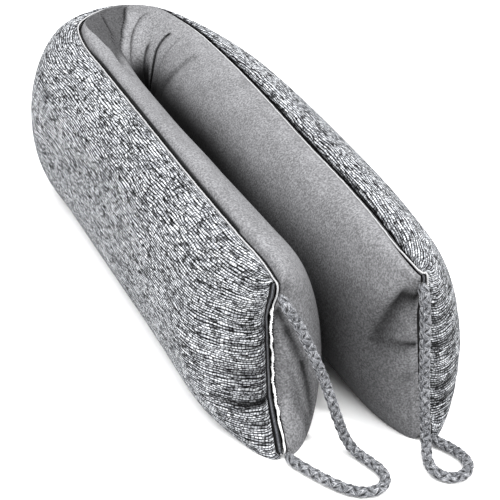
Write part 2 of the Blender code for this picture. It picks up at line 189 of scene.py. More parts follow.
def feed(tree, socket, value):
    """Gives a socket a plain value, or a link from another node."""
    if isinstance(value, bpy.types.NodeSocket):
        tree.links.new(value, socket)
    else:
        socket.default_value = value


def add_node(tree, kind, inputs, **settings):
    made = tree.nodes.new(kind)
    for key, value in settings.items():
        setattr(made, key, value)
    for key, value in inputs.items():
        feed(tree, made.inputs[key], value)
    return made


class ClothFinish:
    """A material made of noise, ramps and relief, in few words."""

    def __init__(self, name):
        self.material = bpy.data.materials.new(name)
        self.material.use_nodes = True
        self.tree = self.material.node_tree
        self.shader = self.tree.nodes["Principled BSDF"]

    def feed(self, socket, value):
        feed(self.tree, socket, value)

    def node(self, kind, inputs, **settings):
        return add_node(self.tree, kind, inputs, **settings)

    def math(self, operation, first, second=0.0):
        return self.node("ShaderNodeMath", {0: first, 1: second}, operation=operation).outputs[0]

    def add(self, *terms):
        total = terms[0]
        for term in terms[1:]:
            total = self.math("ADD", total, term)
        return total

    def times(self, *terms):
        total = terms[0]
        for term in terms[1:]:
            total = self.math("MULTIPLY", total, term)
        return total

    def between(self, value, low, high, to_low=0.0, to_high=1.0):
        inputs = {"Value": value, "From Min": low, "From Max": high, "To Min": to_low, "To Max": to_high}
        return self.node("ShaderNodeMapRange", inputs, interpolation_type="SMOOTHSTEP").outputs["Result"]

    def value_of(self, layer):
        return self.node("ShaderNodeAttribute", {}, attribute_name=layer).outputs["Fac"]

    def map_of(self, layer):
        place = self.node("ShaderNodeUVMap", {}, uv_map=layer).outputs["UV"]
        split = self.node("ShaderNodeSeparateXYZ", {"Vector": place})
        return split.outputs["X"], split.outputs["Y"]

    def object_place(self):
        return self.node("ShaderNodeTexCoord", {}).outputs["Object"]

    def vector(self, x, y, z=0.0):
        return self.node("ShaderNodeCombineXYZ", {"X": x, "Y": y, "Z": z}).outputs["Vector"]

    def noise(self, place, scale=1.0, detail=2.0, roughness=0.5):
        inputs = {"Vector": place, "Scale": scale, "Detail": detail, "Roughness": roughness}
        return self.node("ShaderNodeTexNoise", inputs).outputs["Fac"]

    def chance(self, place):
        return self.node("ShaderNodeTexWhiteNoise", {"Vector": place}).outputs["Value"]

    def colors(self, value, stops):
        ramp = self.node("ShaderNodeValToRGB", {"Fac": value})
        elements = ramp.color_ramp.elements
        while len(elements) < len(stops):
            elements.new(0.5)
        for element, (place, color) in zip(elements, stops):
            element.position = place
            element.color = (*color, 1.0)
        return ramp.outputs["Color"]

    def shade(self, color, value):
        made = self.node("ShaderNodeVectorMath", {0: color}, operation="SCALE")
        self.feed(made.inputs["Scale"], value)
        return made.outputs["Vector"]

    def relief(self, height, distance, strength):
        inputs = {"Height": height, "Distance": distance, "Strength": strength}
        return self.node("ShaderNodeBump", inputs).outputs["Normal"]

    def done(self, color, roughness, normal, sheen=0.0, sheen_roughness=0.5, specular=0.04):
        self.feed(self.shader.inputs["Base Color"], color)
        self.feed(self.shader.inputs["Normal"], normal)
        self.shader.inputs["Roughness"].default_value = roughness
        self.shader.inputs["Specular IOR Level"].default_value = specular
        self.shader.inputs["Sheen Weight"].default_value = sheen
        self.shader.inputs["Sheen Roughness"].default_value = sheen_roughness
        return self.material


def spin_rope_yarn():
    """Strands of fine twisted light and dark yarns, with painted shade where they dip under each
    other and on their sides that face into the rope.
    """
    yarn = ClothFinish("rope_yarn")
    u, v = yarn.map_of("strand")
    slanted = yarn.add(yarn.times(v, 7.0), yarn.times(u, 900.0))
    yarns = yarn.noise(yarn.vector(yarn.times(u, 150.0), slanted), 1.0, 2.0, 0.65)
    flecks = yarn.noise(yarn.object_place(), 1500.0, 1.0, 0.5)
    tone = yarn.add(yarn.times(yarns, 0.75), yarn.times(flecks, 0.25))
    color = yarn.colors(tone, [(0.38, (0.024, 0.025, 0.029)), (0.47, (0.088, 0.091, 0.099)),
                               (0.54, (0.172, 0.176, 0.188)), (0.64, (0.400, 0.406, 0.424))])
    # painted shade on each strand's side that faces into the rope and where it dips under others
    facing = yarn.between(v, 0.40, 0.82, 0.05, 1.0)
    under_shade = yarn.between(yarn.value_of("lift"), -0.9, 0.6, 0.36, 1.0)
    color = yarn.shade(color, yarn.times(facing, under_shade))
    return yarn.done(color, 0.9, yarn.relief(yarns, 0.0004, 0.8), sheen=0.15)


def tube_rings(centers, widths, heights, sides, out):
    """Rings of a flattened tube round the centres; out points away from the middle of the rope."""
    ahead = unit(np.gradient(centers, axis=0))
    out = unit(out - ahead * np.sum(out * ahead, axis=1, keepdims=True))
    aside = np.cross(ahead, out)
    turns = 2 * pi * np.arange(sides) / sides
    rings = centers[:, None] + np.cos(turns)[None, :, None] * heights[:, None, None] * out[:, None]
    return rings + np.sin(turns)[None, :, None] * widths[:, None, None] * aside[:, None]


def tube_faces(rings, sides, first):
    """Quads round an open tube, and a face over each end."""
    ring = np.arange(rings - 1)[:, None] * sides
    corner = np.arange(sides)[None, :]
    following = (corner + 1) % sides
    above = ring + sides
    quads = np.stack([ring + corner, ring + following, above + following, above + corner], axis=-1)
    start = [list(range(first, first + sides))[::-1]]
    stop = [list(range(first + (rings - 1) * sides, first + rings * sides))]
    return [list(face) for face in first + quads.reshape(-1, 4)] + start + stop


def braid_rope(name, route, node):
    """Strands that cross over and under each other round a core, thinner where the seam holds them."""
    centers, places = even_steps(smooth_rows(route, ROUTE_SUBSTEPS), STRAND_STEP)
    ahead = unit(np.gradient(centers, axis=0))
    ups = []
    up = np.array([0.0, 0.0, 1.0])
    for direction in ahead:
        up = unit(up - direction * np.dot(up, direction))
        ups.append(up)
    up = np.array(ups)
    aside = np.cross(ahead, up)
    from_end = np.minimum(places, places[-1] - places)
    pinch = ROPE_PINCH + (1 - ROPE_PINCH) * soft_step(from_end / ROPE_PINCH_LENGTH)
    turned = 2 * pi * places / STRAND_TURN
    rings, faces, strand_map, lifts = [], [], [], []
    round_strand = np.abs(np.linspace(-1, 1, STRAND_SIDES, endpoint=False))
    for way in (1, -1):
        for strand in range(STRANDS_EACH_WAY):
            turn = way * turned + 2 * pi * strand / STRANDS_EACH_WAY
            weave = way * np.cos(STRANDS_EACH_WAY * turned)
            out = np.cos(turn)[:, None] * up + np.sin(turn)[:, None] * aside
            line = centers + out * (pinch * (STRAND_CENTER + STRAND_WEAVE * weave))[:, None]
            faces += tube_faces(len(line), STRAND_SIDES, len(rings) * len(line) * STRAND_SIDES)
            half_width, half_height = pinch * STRAND_HALF_WIDTH, pinch * STRAND_HALF_HEIGHT
            rings.append(tube_rings(line, half_width, half_height, STRAND_SIDES, out))
            run = places + YARN_SHIFT_BY_STRAND * strand + YARN_SHIFT_BY_WAY * (way > 0)
            strand_map.append(np.stack(np.broadcast_arrays(run[:, None], round_strand[None]), axis=-1))
            lifts.append(np.repeat(weave, STRAND_SIDES))
    faces += tube_faces(len(centers), STRAND_SIDES, len(rings) * len(centers) * STRAND_SIDES)
    rings.append(tube_rings(centers, pinch * CORE_RADIUS, pinch * CORE_RADIUS, STRAND_SIDES, up))
    strand_map.append(np.zeros((len(centers), STRAND_SIDES, 2)))
    lifts.append(np.full(len(centers) * STRAND_SIDES, -1.0))
    points = np.concatenate([ring.reshape(-1, 3) for ring in rings])
    points[:, 2] = np.maximum(points[:, 2], LEAST_HEIGHT)
    layers = {
        "strand": np.concatenate([part.reshape(-1, 2) for part in strand_map]),
        "lift": np.concatenate(lifts),
    }
    rope = sew_piece(name, points, faces, ROPE_YARN, layers)
    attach(rope, "root")
    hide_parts(node)


ROPE_YARN = spin_rope_yarn()
braid_rope("braided_handle_left", LEFT_ROPE_ROUTE, "rope_handle_left")
braid_rope("braided_handle_right", RIGHT_ROPE_ROUTE, "rope_handle_right")

# Velvet side and filling
# Mid-grey short-pile velvet over a soft filling. The tube is folded in half with this side turned
# inwards, so the velvet is tucked into deep creases at the fold and gathered at the end seams.
SEAM_HEIGHT = 0.1235
FOOT_SEAM_HEIGHT = 0.0030
CAP_LENGTH = 0.062
CLOTH_THICKNESS = 0.0020
PIECE_GAP = 0.0003

# How full the section is, and where along the seam the top of the left arm falls away sooner
ROUNDNESS = 0.80
LEFT_ARM_FALLING = 0.16
FALLING_BY_FOLD = 1.0
FALLING_RISE = (0.0, 0.08)
FALLING_MORE = (0.16, 0.24)
FALLING_END = (0.345, 0.305)

# The cloth swells up beside the seam, dips down to it, and is pressed flat on the floor
CROWN_RISE = 0.0040
CROWN_REACH = 0.013
FULL_CROWN_BULGE = 0.044
VALLEY_DEPTH = 0.0016
VALLEY_REACH = 0.0030
BASE_PRESS = 0.0120
BASE_REACH = 0.016
BASE_TURN = 35.0

# The left end, -1, and the right end, 1, are drawn into their arms between the corners
END_DRAW = {-1: 0.0095, 1: 0.0040}
END_DRAW_RISE = 0.036
END_LIP = {-1: 0.0060, 1: 0.0035}
END_LIP_REACH = 0.010
FOOT_REACH = {-1: 0.0065, 1: 0.0000}

# The groove for the piping, the tape beside it, and the velvet's edge over it at the right end
SLOT_HALF = 0.0018
SLOT_DEPTH = 0.0034
TAPE_WIDTH = 0.0034
TAPE_CORNER_SHARE = 0.35
TAPE_WIDENING = 3
TAPE_GAP = 0.0005
RIGHT_EDGE_OVERLAP = 0.0026

# The middle of the fold, and the line along which the two arms meet
FOLD_FOCUS = np.array([-0.0045, 0.3060])
FOLD_HOLLOW = 0.0030
HOLLOW_RISE = 0.030
MEETING_LINE_Y = (-0.060, -0.030, 0.005, 0.060, 0.120, 0.200, 0.306)
MEETING_LINE_X = (0.0080, 0.0075, 0.0055, 0.0020, -0.0020, -0.0035, -0.0045)

# The cloth turns and gets thinner where the top and bottom seams meet an end seam
CORNER_TURN = 30.0
MITRE_EXTRA = 2**0.5 - 1
CORNER_THINNING = 0.55
CORNER_THINNING_REACH = 55.0

# How closely the seam is read and the meshes are cut
ROW_SUBSTEPS = 24
DIRECTION_REACH = 0.006
CLOSER_BY_SEAMS = 0.7
FOLD_START = 0.296
FOLD_END = 0.575
VELVET_SECTIONS = {"cap_rows": 40, "arm_step": 0.0040, "fold_step": 0.0014}
VELVET_ANGLES = 112

# The top seam seen from above, with the bulge each side of it, how far the bottom seam lies
# further out, and the share by which the lower half bulges more
SEAM_COLUMNS = ("seam_x", "seam_y", "outward", "inward", "lean", "sag")
SEAM_ROWS = (
    # left arm, from its open end to the fold
    (-0.0424, -0.0310, 0.041, 0.050, -0.004, 0.20),
    (-0.0409, -0.0060, 0.041, 0.050, -0.004, 0.16),
    (-0.0425, 0.0270, 0.042, 0.048, -0.003, 0.08),
    (-0.0443, 0.1030, 0.042, 0.046, -0.002, 0.00),
    (-0.0451, 0.1940, 0.042, 0.046, 0.000, 0.00),
    (-0.0458, 0.2740, 0.044, 0.047, 0.000, 0.00),
    (-0.0455, 0.3300, 0.046, 0.048, 0.000, 0.00),
    # round the fold
    (-0.0355, 0.3700, 0.032, 0.060, 0.000, 0.00),
    (-0.0040, 0.3900, 0.018, 0.078, 0.000, 0.00),
    (0.0270, 0.3760, 0.015, 0.068, 0.000, 0.00),
    (0.0410, 0.3280, 0.026, 0.048, 0.002, 0.00),
    # right arm, from the fold to its open end
    (0.0450, 0.2720, 0.039, 0.047, 0.004, 0.00),
    (0.0455, 0.2000, 0.045, 0.045, 0.006, 0.00),
    (0.0435, 0.1200, 0.048, 0.041, 0.006, 0.00),
    (0.0430, 0.0600, 0.047, 0.038, 0.008, 0.05),
    (0.0405, 0.0050, 0.044, 0.035, 0.010, 0.12),
    (0.0340, -0.0555, 0.042, 0.030, 0.011, 0.18),
)

# Tucks and pleats at the fold. Each is a line through pairs of section angle and run, with its
# depth, its half widths towards the left and the right arm,
# and the painted shade of its line and its bed.
PLEATS = (
    (((1, 0.4010), (10, 0.3820), (16.5, 0.3490), (21, 0.3240), (25, 0.3040)),
     0.0100, 0.0050, 0.0600, 0.75, 0.55),
    (((4.5, 0.4250), (9, 0.4220), (14.5, 0.4200)), 0.0018, 0.0016, 0.0022, 1.00, 0.90),
    (((7, 0.4240), (23.5, 0.4110), (34.5, 0.3650)), 0.0034, 0.0018, 0.0026, 1.00, 0.92),
    (((3, 0.4530), (17.5, 0.4430), (29, 0.4250), (38, 0.3900)), 0.0042, 0.0034, 0.0016, 1.00, 0.96),
    (((10, 0.4700), (26.5, 0.4490), (39.5, 0.4310), (52, 0.4000)), 0.0040, 0.0018, 0.0050, 0.70, 0.20),
    (((34, 0.4760), (45, 0.4640), (60, 0.4500)), 0.0040, 0.0034, 0.0030, 0.85, 0.30),
    (((19, 0.5190), (40.5, 0.4960), (59, 0.4920), (76, 0.4800)), 0.0056, 0.0020, 0.0066, 0.75, 0.20),
    (((18.5, 0.5780), (39.5, 0.5720), (61, 0.5620)), 0.0020, 0.0020, 0.0060, 0.40, 0.10),
    (((14, 0.5420), (30, 0.5400), (46, 0.5330)), 0.0012, 0.0020, 0.0040, 0.30, 0.10),
)

# How the pleats fade out, and the painted shades in which the cloth between and below them lies
FIRST_TUCK = 0
DEEPEST_PLEAT = 3
PLEAT_TOP_LEAD = 1
PLEAT_TOP_FADE = 8
PLEAT_FOOT_FADE = 20
PLEAT_CORE = 0.0011
PLEAT_LEAST_NARROWING = 0.12
PLEAT_SHARE = 0.6
TUCK_DARKNESS = 0.68
TUCK_SHADE_EDGE = 0.006
TUCK_SHADE_LONGER = 0.090
TUCK_FOOT = (22, 36)
PLEAT_SHADE_EDGE = 0.003
TUCK_SHADE_TOP = (-1, 5)
TUCK_SHADE_BOTTOM = (70, 50)
HOLLOW_DARKNESS = 0.97
HOLLOW_ANGLES = (36, 58)
HOLLOW_LEFT = (0.355, 0.375)
HOLLOW_RIGHT = (0.488, 0.470)

# Pulls in the end faces of the velvet, from one cap and section angle to another, each with painted
# shade along it. The three that follow on from each other on the left end, from section angle 60 to
# 131, stand for the painted shadow of the rope on the velvet. They fade a little along their line,
# and start a few millimetres inside the seam.
PULL_FADING = 0.3
PULL_START = 0.004
PULL_COLUMNS = ("end", "from_cap", "from_angle", "to_cap", "to_angle", "depth", "width", "dark")
PULLS = (
    (1, 4, 39, 42, 82, 0.0110, 9.5, 0.99),
    (1, 4, 83, 50, 85.5, 0.0022, 2.4, 0.97),
    (1, 4, 101, 30, 104, 0.0010, 3.0, 0.20),
    (-1, 2, 26, 7, 48, 0.0036, 8.0, 0.10),
    (-1, 2, 60, 9, 76, 0.0020, 4.4, 0.98),
    (-1, 9, 76, 20, 97, 0.0020, 4.6, 0.95),
    (-1, 20, 97, 30, 131, 0.0016, 4.0, 0.97),
    (-1, 5, 50, 34, 56, 0.0014, 4.0, 0.15),
    (-1, 4, 96, 16, 93, 0.0008, 2.4, 0.25),
)

# Gathers of the linen where it runs into the end seams, by section angle, each painted darker in its
# crease as shade
GATHER_COLUMNS = ("side", "angle", "depth", "width", "length")
GATHERS = (
    (-1, 126, 0.0012, 3.0, 0.022),
    (-1, 113, 0.0036, 3.4, 0.030),
    (-1, 106, 0.0012, 2.4, 0.014),
    (-1, 101, 0.0015, 2.4, 0.020),
    (-1, 95, 0.0024, 2.6, 0.036),
    (-1, 88, 0.0012, 2.4, 0.016),
    (-1, 80, 0.0014, 2.4, 0.024),
    (-1, 71, 0.0009, 2.4, 0.016),
    (-1, 61, 0.0010, 2.6, 0.020),
    (-1, 50, 0.0008, 2.6, 0.016),
    (1, 50, 0.0012, 3.0, 0.030),
    (1, 60, 0.0016, 2.8, 0.045),
    (1, 71, 0.0022, 2.6, 0.036),
    (1, 78, 0.0012, 2.4, 0.020),
    (1, 85, 0.0026, 2.6, 0.050),
    (1, 93, 0.0014, 2.4, 0.028),
    (1, 101, 0.0014, 2.4, 0.020),
    (1, 110, 0.0028, 3.0, 0.045),
    (1, 120, 0.0026, 3.0, 0.034),
    (1, 131, 0.0012, 2.6, 0.024),
)
GATHER_DEEPEST = 0.0036
GATHER_DARKNESS = 1.25
GATHER_DARKEST = 0.95

# Painted shade between the arms: the section angle where it starts, over how many degrees it grows,
# and how dark it gets, at the open ends and at the fold
SHADE_FROM = {"ends": 34, "fold": 42}
SHADE_OVER = {"ends": 55, "fold": 28}
SHADE_DEPTH = {"ends": 0.68, "fold": 0.95}
ENDS_TO_FOLD_Y = (0.02, 0.22)

# Painted shade along the groove of the top seam, by distance from it and by run
GROOVE_DARKNESS = 0.92
GROOVE_SHADE_ACROSS = (0.0015, 0.0005)
GROOVE_SHADE_END = (0.36, 0.33)

# Velvet pinched into small ticks where it is sewn to the end seams, each painted darker as shade
TICK_PITCH = 0.0024
TICKS_REACH = 0.0055
TICKS_DARKNESS = 0.55

FINE_ROWS = smooth_rows(SEAM_ROWS, ROW_SUBSTEPS)
FINE_RUN = np.concatenate([[0.0], np.cumsum(np.linalg.norm(np.diff(FINE_ROWS[:, :2], axis=0), axis=1))])
SEAM_LENGTH = float(FINE_RUN[-1])


def along(run, name):
    return np.interp(run, FINE_RUN, FINE_ROWS[:, SEAM_COLUMNS.index(name)])


def seam_place(run):
    return np.stack([along(run, "seam_x"), along(run, "seam_y")], axis=-1)


def seam_direction(run):
    return unit(seam_place(np.minimum(run + DIRECTION_REACH, SEAM_LENGTH))
                - seam_place(np.maximum(run - DIRECTION_REACH, 0.0)))


def outward_direction(run):
    ahead = seam_direction(run)
    return np.stack([-ahead[..., 1], ahead[..., 0]], axis=-1)


def inward_direction(run):
    """Straight across on the arms, turning towards the focus of the fold beyond them."""
    place = seam_place(run)
    straight = np.zeros_like(place)
    straight[..., 0] = np.where(place[..., 0] < FOLD_FOCUS[0], 1.0, -1.0)
    return np.where((place[..., 1] > FOLD_FOCUS[1])[..., None], unit(FOLD_FOCUS - place), straight)


def inward_reach(run):
    """The bulge up to the meeting line on the arms, and up to the hollow of the fold beyond them."""
    place = seam_place(run)
    meeting_x = np.interp(place[..., 1], MEETING_LINE_Y, MEETING_LINE_X)
    hollow = FOLD_HOLLOW * (0.5 + 0.5 * change(place[..., 1], FOLD_FOCUS[1] - HOLLOW_RISE, FOLD_FOCUS[1]))
    on_arm = np.minimum(along(run, "inward"), abs(place[..., 0] - meeting_x) - hollow)
    in_fold = np.linalg.norm(FOLD_FOCUS - place, axis=-1) - hollow
    return np.where(place[..., 1] > FOLD_FOCUS[1], in_fold, on_arm)


def bump(distance, reach):
    """Nothing at the seam, one at its reach, dying away beyond."""
    share = distance / reach
    return share * np.exp(1 - share)


def angles_round(count):
    """Section angles from the top seam to the bottom one, closer together near the seams."""
    share = np.linspace(0, 1, count)
    return 180 * (share - CLOSER_BY_SEAMS * np.sin(2 * pi * share) / (2 * pi))


class Sections:
    """Sections of the cushion: run along the seam, angle of the end cap, and which end it is."""

    def __init__(self, run, cap_angle, end):
        self.run = np.asarray(run, float)[:, None]
        self.cap_angle = np.asarray(cap_angle, float)[:, None]
        self.end = np.asarray(end, float)[:, None]
        self.opening = np.sin(np.radians(self.cap_angle))
        self.closing = np.cos(np.radians(self.cap_angle))

    def by_end(self, values):
        return np.where(self.end < 0, values[-1], values[1])


def pleat_relief(run, angle):
    """How deep the velvet is in the pleats of the fold, and how dark it is painted there as shade."""
    depth = np.zeros(np.broadcast(run, angle).shape)
    dark = depth.copy()
    narrowing = 1 - np.maximum(np.sin(np.radians(angle)), 0) ** ROUNDNESS
    narrowing = np.maximum(narrowing, PLEAT_LEAST_NARROWING)
    for line, pleat_depth, before, after, line_dark, bed_dark in PLEATS:
        angles, runs = zip(*line)
        away = run - np.interp(angle, angles, runs)
        fade = soft_step((angle - angles[0] + PLEAT_TOP_LEAD) / PLEAT_TOP_FADE)
        fade = fade * soft_step((angles[-1] + 0.5 * PLEAT_FOOT_FADE - angle) / PLEAT_FOOT_FADE)
        wide = np.abs(away) / np.where(away < 0, before, after)
        core = np.abs(away * narrowing) / PLEAT_CORE
        depth = depth + pleat_depth * np.exp(-(wide**1.4)) * fade
        line_shade = line_dark * np.exp(-(core**2)) * fade**0.3
        dark = np.maximum(dark, np.maximum(line_shade, bed_dark * np.exp(-(wide**3)) * fade))
    # the cloth between the first tuck and the deepest pleat is pushed down and is painted in shade,
    # which fades out along the arm below the foot of the tuck
    tuck_edge, pleat_edge = (
        np.interp(angle, *zip(*PLEATS[number][0])) for number in (FIRST_TUCK, DEEPEST_PLEAT)
    )
    tuck_reach = TUCK_SHADE_EDGE + TUCK_SHADE_LONGER * change(angle, *TUCK_FOOT)
    behind = soft_step((run - tuck_edge) / tuck_reach) * soft_step((pleat_edge - run) / PLEAT_SHADE_EDGE)
    behind = behind * change(angle, *TUCK_SHADE_TOP) * change(angle, *TUCK_SHADE_BOTTOM)
    # and the feet of the pleats run together in a deep hollow, painted nearly black as shade
    hollow = change(angle, *HOLLOW_ANGLES) * change(run, *HOLLOW_LEFT) * change(run, *HOLLOW_RIGHT)
    return depth, np.maximum(dark, np.maximum(TUCK_DARKNESS * behind, HOLLOW_DARKNESS * hollow))


def gather_relief(sections, angle):
    """How deep the linen is between its gathers at the end seams, and the painted shade there."""
    depth = np.zeros(np.broadcast(sections.run, angle).shape)
    dark = depth.copy()
    for row in GATHERS:
        gather = dict(zip(GATHER_COLUMNS, row))
        run = sections.run if gather["side"] < 0 else SEAM_LENGTH - sections.run
        away = np.abs(angle - gather["angle"]) / gather["width"]
        shape = np.exp(-(away**1.5)) * soft_step(1 - run / gather["length"])
        depth = depth + gather["depth"] * shape * sections.opening**0.35
        dark = np.maximum(dark, GATHER_DARKNESS * shape * (gather["depth"] / GATHER_DEEPEST) ** 0.7)
    return depth, np.minimum(dark, GATHER_DARKEST)


def groove_shade(run, from_seam, side):
    """Painted shade on the cloth at the right of the top seam, 1.5 mm wide: velvet on the left arm,
    linen on the right one."""
    on_left_arm = change(run, *GROOVE_SHADE_END)
    on_side = on_left_arm if side < 0 else 1 - on_left_arm
    return GROOVE_DARKNESS * on_side * change(from_seam, *GROOVE_SHADE_ACROSS)


def pull_relief(sections, angle):
    """How far in the end faces are along short lines that start at the end seam, and how dark they are
    painted there as shade.
    """
    depth = np.zeros(np.broadcast(sections.run, angle).shape)
    dark = depth.copy()
    for row in PULLS:
        pull = dict(zip(PULL_COLUMNS, row))
        step = np.array([pull["to_cap"] - pull["from_cap"], pull["to_angle"] - pull["from_angle"]])
        from_start = [sections.cap_angle - pull["from_cap"], angle - pull["from_angle"]]
        share = np.clip((from_start[0] * step[0] + from_start[1] * step[1]) / np.dot(step, step), 0, 1)
        away = np.hypot(from_start[0] - share * step[0], from_start[1] - share * step[1]) / pull["width"]
        shape = (1 - PULL_FADING * share) * (sections.end == pull["end"]) * np.exp(-(away**1.5))
        depth = depth + pull["depth"] * shape
        dark = np.maximum(dark, pull["dark"] * shape)
    return depth, dark


def skin(sections, angles, side, across_tape=1.0):
    """Points of the outer skin, by section and by angle from the top seam, 0, to the bottom one,
    180. side is 1 for linen and -1 for velvet; across_tape is 0 at the seam, 1 at the linen."""
    run = sections.run
    angle = angles[None, :]
    turn = np.radians(angle)
    swell = np.maximum(np.sin(turn), 0.0)
    if side > 0:
        direction = outward_direction(run[:, 0])[:, None, :]
        tape_share = TAPE_CORNER_SHARE + (1 - TAPE_CORNER_SHARE) * soft_step(TAPE_WIDENING * np.sin(turn))
        tape = (TAPE_WIDTH + PIECE_GAP) * tape_share * (1 - sections.opening) * (sections.end != 0)
        across = SLOT_HALF + across_tape * tape
        across = across + (along(run, "outward") - across) * sections.opening * swell**ROUNDNESS
        across = across - gather_relief(sections, angle)[0]
    else:
        direction = inward_direction(run[:, 0])[:, None, :]
        # the top of the left arm falls away sooner towards the right arm
        falling = change(run, *FALLING_RISE) + FALLING_BY_FOLD * change(run, *FALLING_MORE)
        falling = LEFT_ARM_FALLING * falling * change(run, *FALLING_END)
        across = (inward_reach(run) - SLOT_HALF) * sections.opening * swell ** (ROUNDNESS + falling)
        across = SLOT_HALF + across - np.minimum(pleat_relief(run, angle)[0], PLEAT_SHARE * across)
        across = across - RIGHT_EDGE_OVERLAP * (sections.end > 0) * sections.closing**4
    from_slot = np.maximum(across - SLOT_HALF, 0.0)
    from_slot = from_slot * (1 + along(run, "sag") * (1.5 * soft_step(0.5 - 0.5 * np.cos(turn)) - 0.5))
    across = np.where(across > SLOT_HALF, SLOT_HALF + from_slot, across)
    height = FOOT_SEAM_HEIGHT + 0.5 * (SEAM_HEIGHT - FOOT_SEAM_HEIGHT) * (1 + np.cos(turn))
    drawn_in = soft_step((SEAM_HEIGHT - height) / END_DRAW_RISE)
    drawn_in = drawn_in * soft_step((height - FOOT_SEAM_HEIGHT) / END_DRAW_RISE)
    tightness = np.minimum(along(run, "outward") / FULL_CROWN_BULGE, 1.0) ** 2 if side > 0 else 1.0
    rise = CROWN_RISE * bump(from_slot, CROWN_REACH) + VALLEY_DEPTH * bump(from_slot, VALLEY_REACH)
    press = BASE_PRESS * bump(from_slot, BASE_REACH) + 2 * FOOT_SEAM_HEIGHT * bump(from_slot, VALLEY_REACH)
    press = press * sections.opening**0.5
    height = height + soft_step(0.5 + np.cos(turn)) * rise * tightness
    height = height - soft_step(0.5 - np.cos(turn)) * press
    height = np.maximum(height, 0.0)
    lean = along(run, "lean") * (1 - height / SEAM_HEIGHT)
    plan = seam_place(run[:, 0])[:, None, :] + direction * across[..., None]
    plan = plan + outward_direction(run[:, 0])[:, None, :] * lean[..., None]
    into_arm = -sections.end[:, :, None] * seam_direction(run[:, 0])[:, None, :]
    lip = sections.by_end(END_LIP) * (1 - bump(np.minimum(from_slot, END_LIP_REACH), END_LIP_REACH))
    foot = sections.by_end(FOOT_REACH) * (1 - height / SEAM_HEIGHT) ** 3
    moved = sections.closing * ((sections.by_end(END_DRAW) + lip) * drawn_in - foot)
    if side < 0:
        moved = moved + pull_relief(sections, angle)[0] * soft_step(from_slot / PULL_START)
    plan = plan + into_arm * moved[..., None]
    return np.concatenate([plan, height[..., None]], axis=-1)


def corner_shares(sections, angle, reach):
    by_seam = 1 - soft_step(np.minimum(angle, 180 - angle) / reach)
    by_end = np.where(sections.end != 0, 1 - soft_step(sections.cap_angle / reach), 0.0)
    return by_seam, by_end


def skin_normal(sections, angles, side):
    """Out of the cloth, and both ways at once where the top or bottom seam meets the end seam."""
    angle = angles[None, :]
    by_seam, by_end = corner_shares(sections, angle, CORNER_TURN)
    turn = np.radians(np.where(angle > 90, 90 + 90 * soft_step((angle - 90) / BASE_TURN), angle))
    upright = np.cos(turn) + 0 * sections.run
    corner = np.where(upright > 0, by_seam, -by_seam)
    run = sections.run[:, 0]
    direction = outward_direction(run) if side > 0 else inward_direction(run)
    flat = direction[:, None, :] * (sections.opening * np.sin(turn))[..., None]
    push = sections.closing * (1 - by_seam) + by_end * by_seam
    flat = flat + sections.end[:, :, None] * seam_direction(run)[:, None, :] * push[..., None]
    normal = np.concatenate([flat, (upright * (1 - by_end) + corner * by_end)[..., None]], axis=-1)
    return unit(normal) * (1 + MITRE_EXTRA * by_seam * by_end)[..., None]


def cloth_depth(sections, angles):
    by_seam, by_end = corner_shares(sections, angles[None, :], CORNER_THINNING_REACH)
    return CLOTH_THICKNESS * (1 - CORNER_THINNING * by_seam * by_end)


def cut_sections(cap_rows, arm_step, fold_step):
    """Sections from the left end to the right one, close together in the caps and at the fold."""

    def stretch(start, stop, step):
        return np.linspace(start, stop, round((stop - start) / step) + 1)[:-1]

    cap = 90 * (np.arange(cap_rows) / cap_rows) ** 1.1
    cap_run = CAP_LENGTH * (1 - np.cos(np.radians(cap)))
    middle = np.concatenate([
        stretch(CAP_LENGTH, FOLD_START, arm_step),
        stretch(FOLD_START, FOLD_END, fold_step),
        stretch(FOLD_END, SEAM_LENGTH - CAP_LENGTH, arm_step),
        [SEAM_LENGTH - CAP_LENGTH],
    ])
    run = np.concatenate([cap_run, middle, SEAM_LENGTH - cap_run[::-1]])
    cap_angle = np.concatenate([cap, np.full(len(middle), 90.0), cap[::-1]])
    end = np.concatenate([np.full(cap_rows, -1.0), np.zeros(len(middle)), np.full(cap_rows, 1.0)])
    return Sections(run, cap_angle, end)


def grid_faces(rows, columns, first=0):
    corner = (first + np.arange(rows - 1)[:, None] * columns + np.arange(columns - 1)[None, :]).ravel()
    return np.stack([corner, corner + 1, corner + columns + 1, corner + columns], axis=1)


def rim_of(rows, columns):
    """The border of a grid, once round, as point indices."""
    rim = [row * columns for row in range(rows)]
    rim += [(rows - 1) * columns + column for column in range(1, columns)]
    rim += [row * columns + columns - 1 for row in range(rows - 2, -1, -1)]
    rim += list(range(columns - 2, 0, -1))
    return np.array(rim)


def band_faces(rim, other):
    return np.stack([rim, np.roll(rim, -1), np.roll(other, -1), other], axis=1)


def round_lengths(grid):
    """Distance round each section from the top seam."""
    steps = np.linalg.norm(np.diff(grid, axis=1), axis=2)
    return np.concatenate([np.zeros((len(grid), 1)), np.cumsum(steps, axis=1)], axis=1)


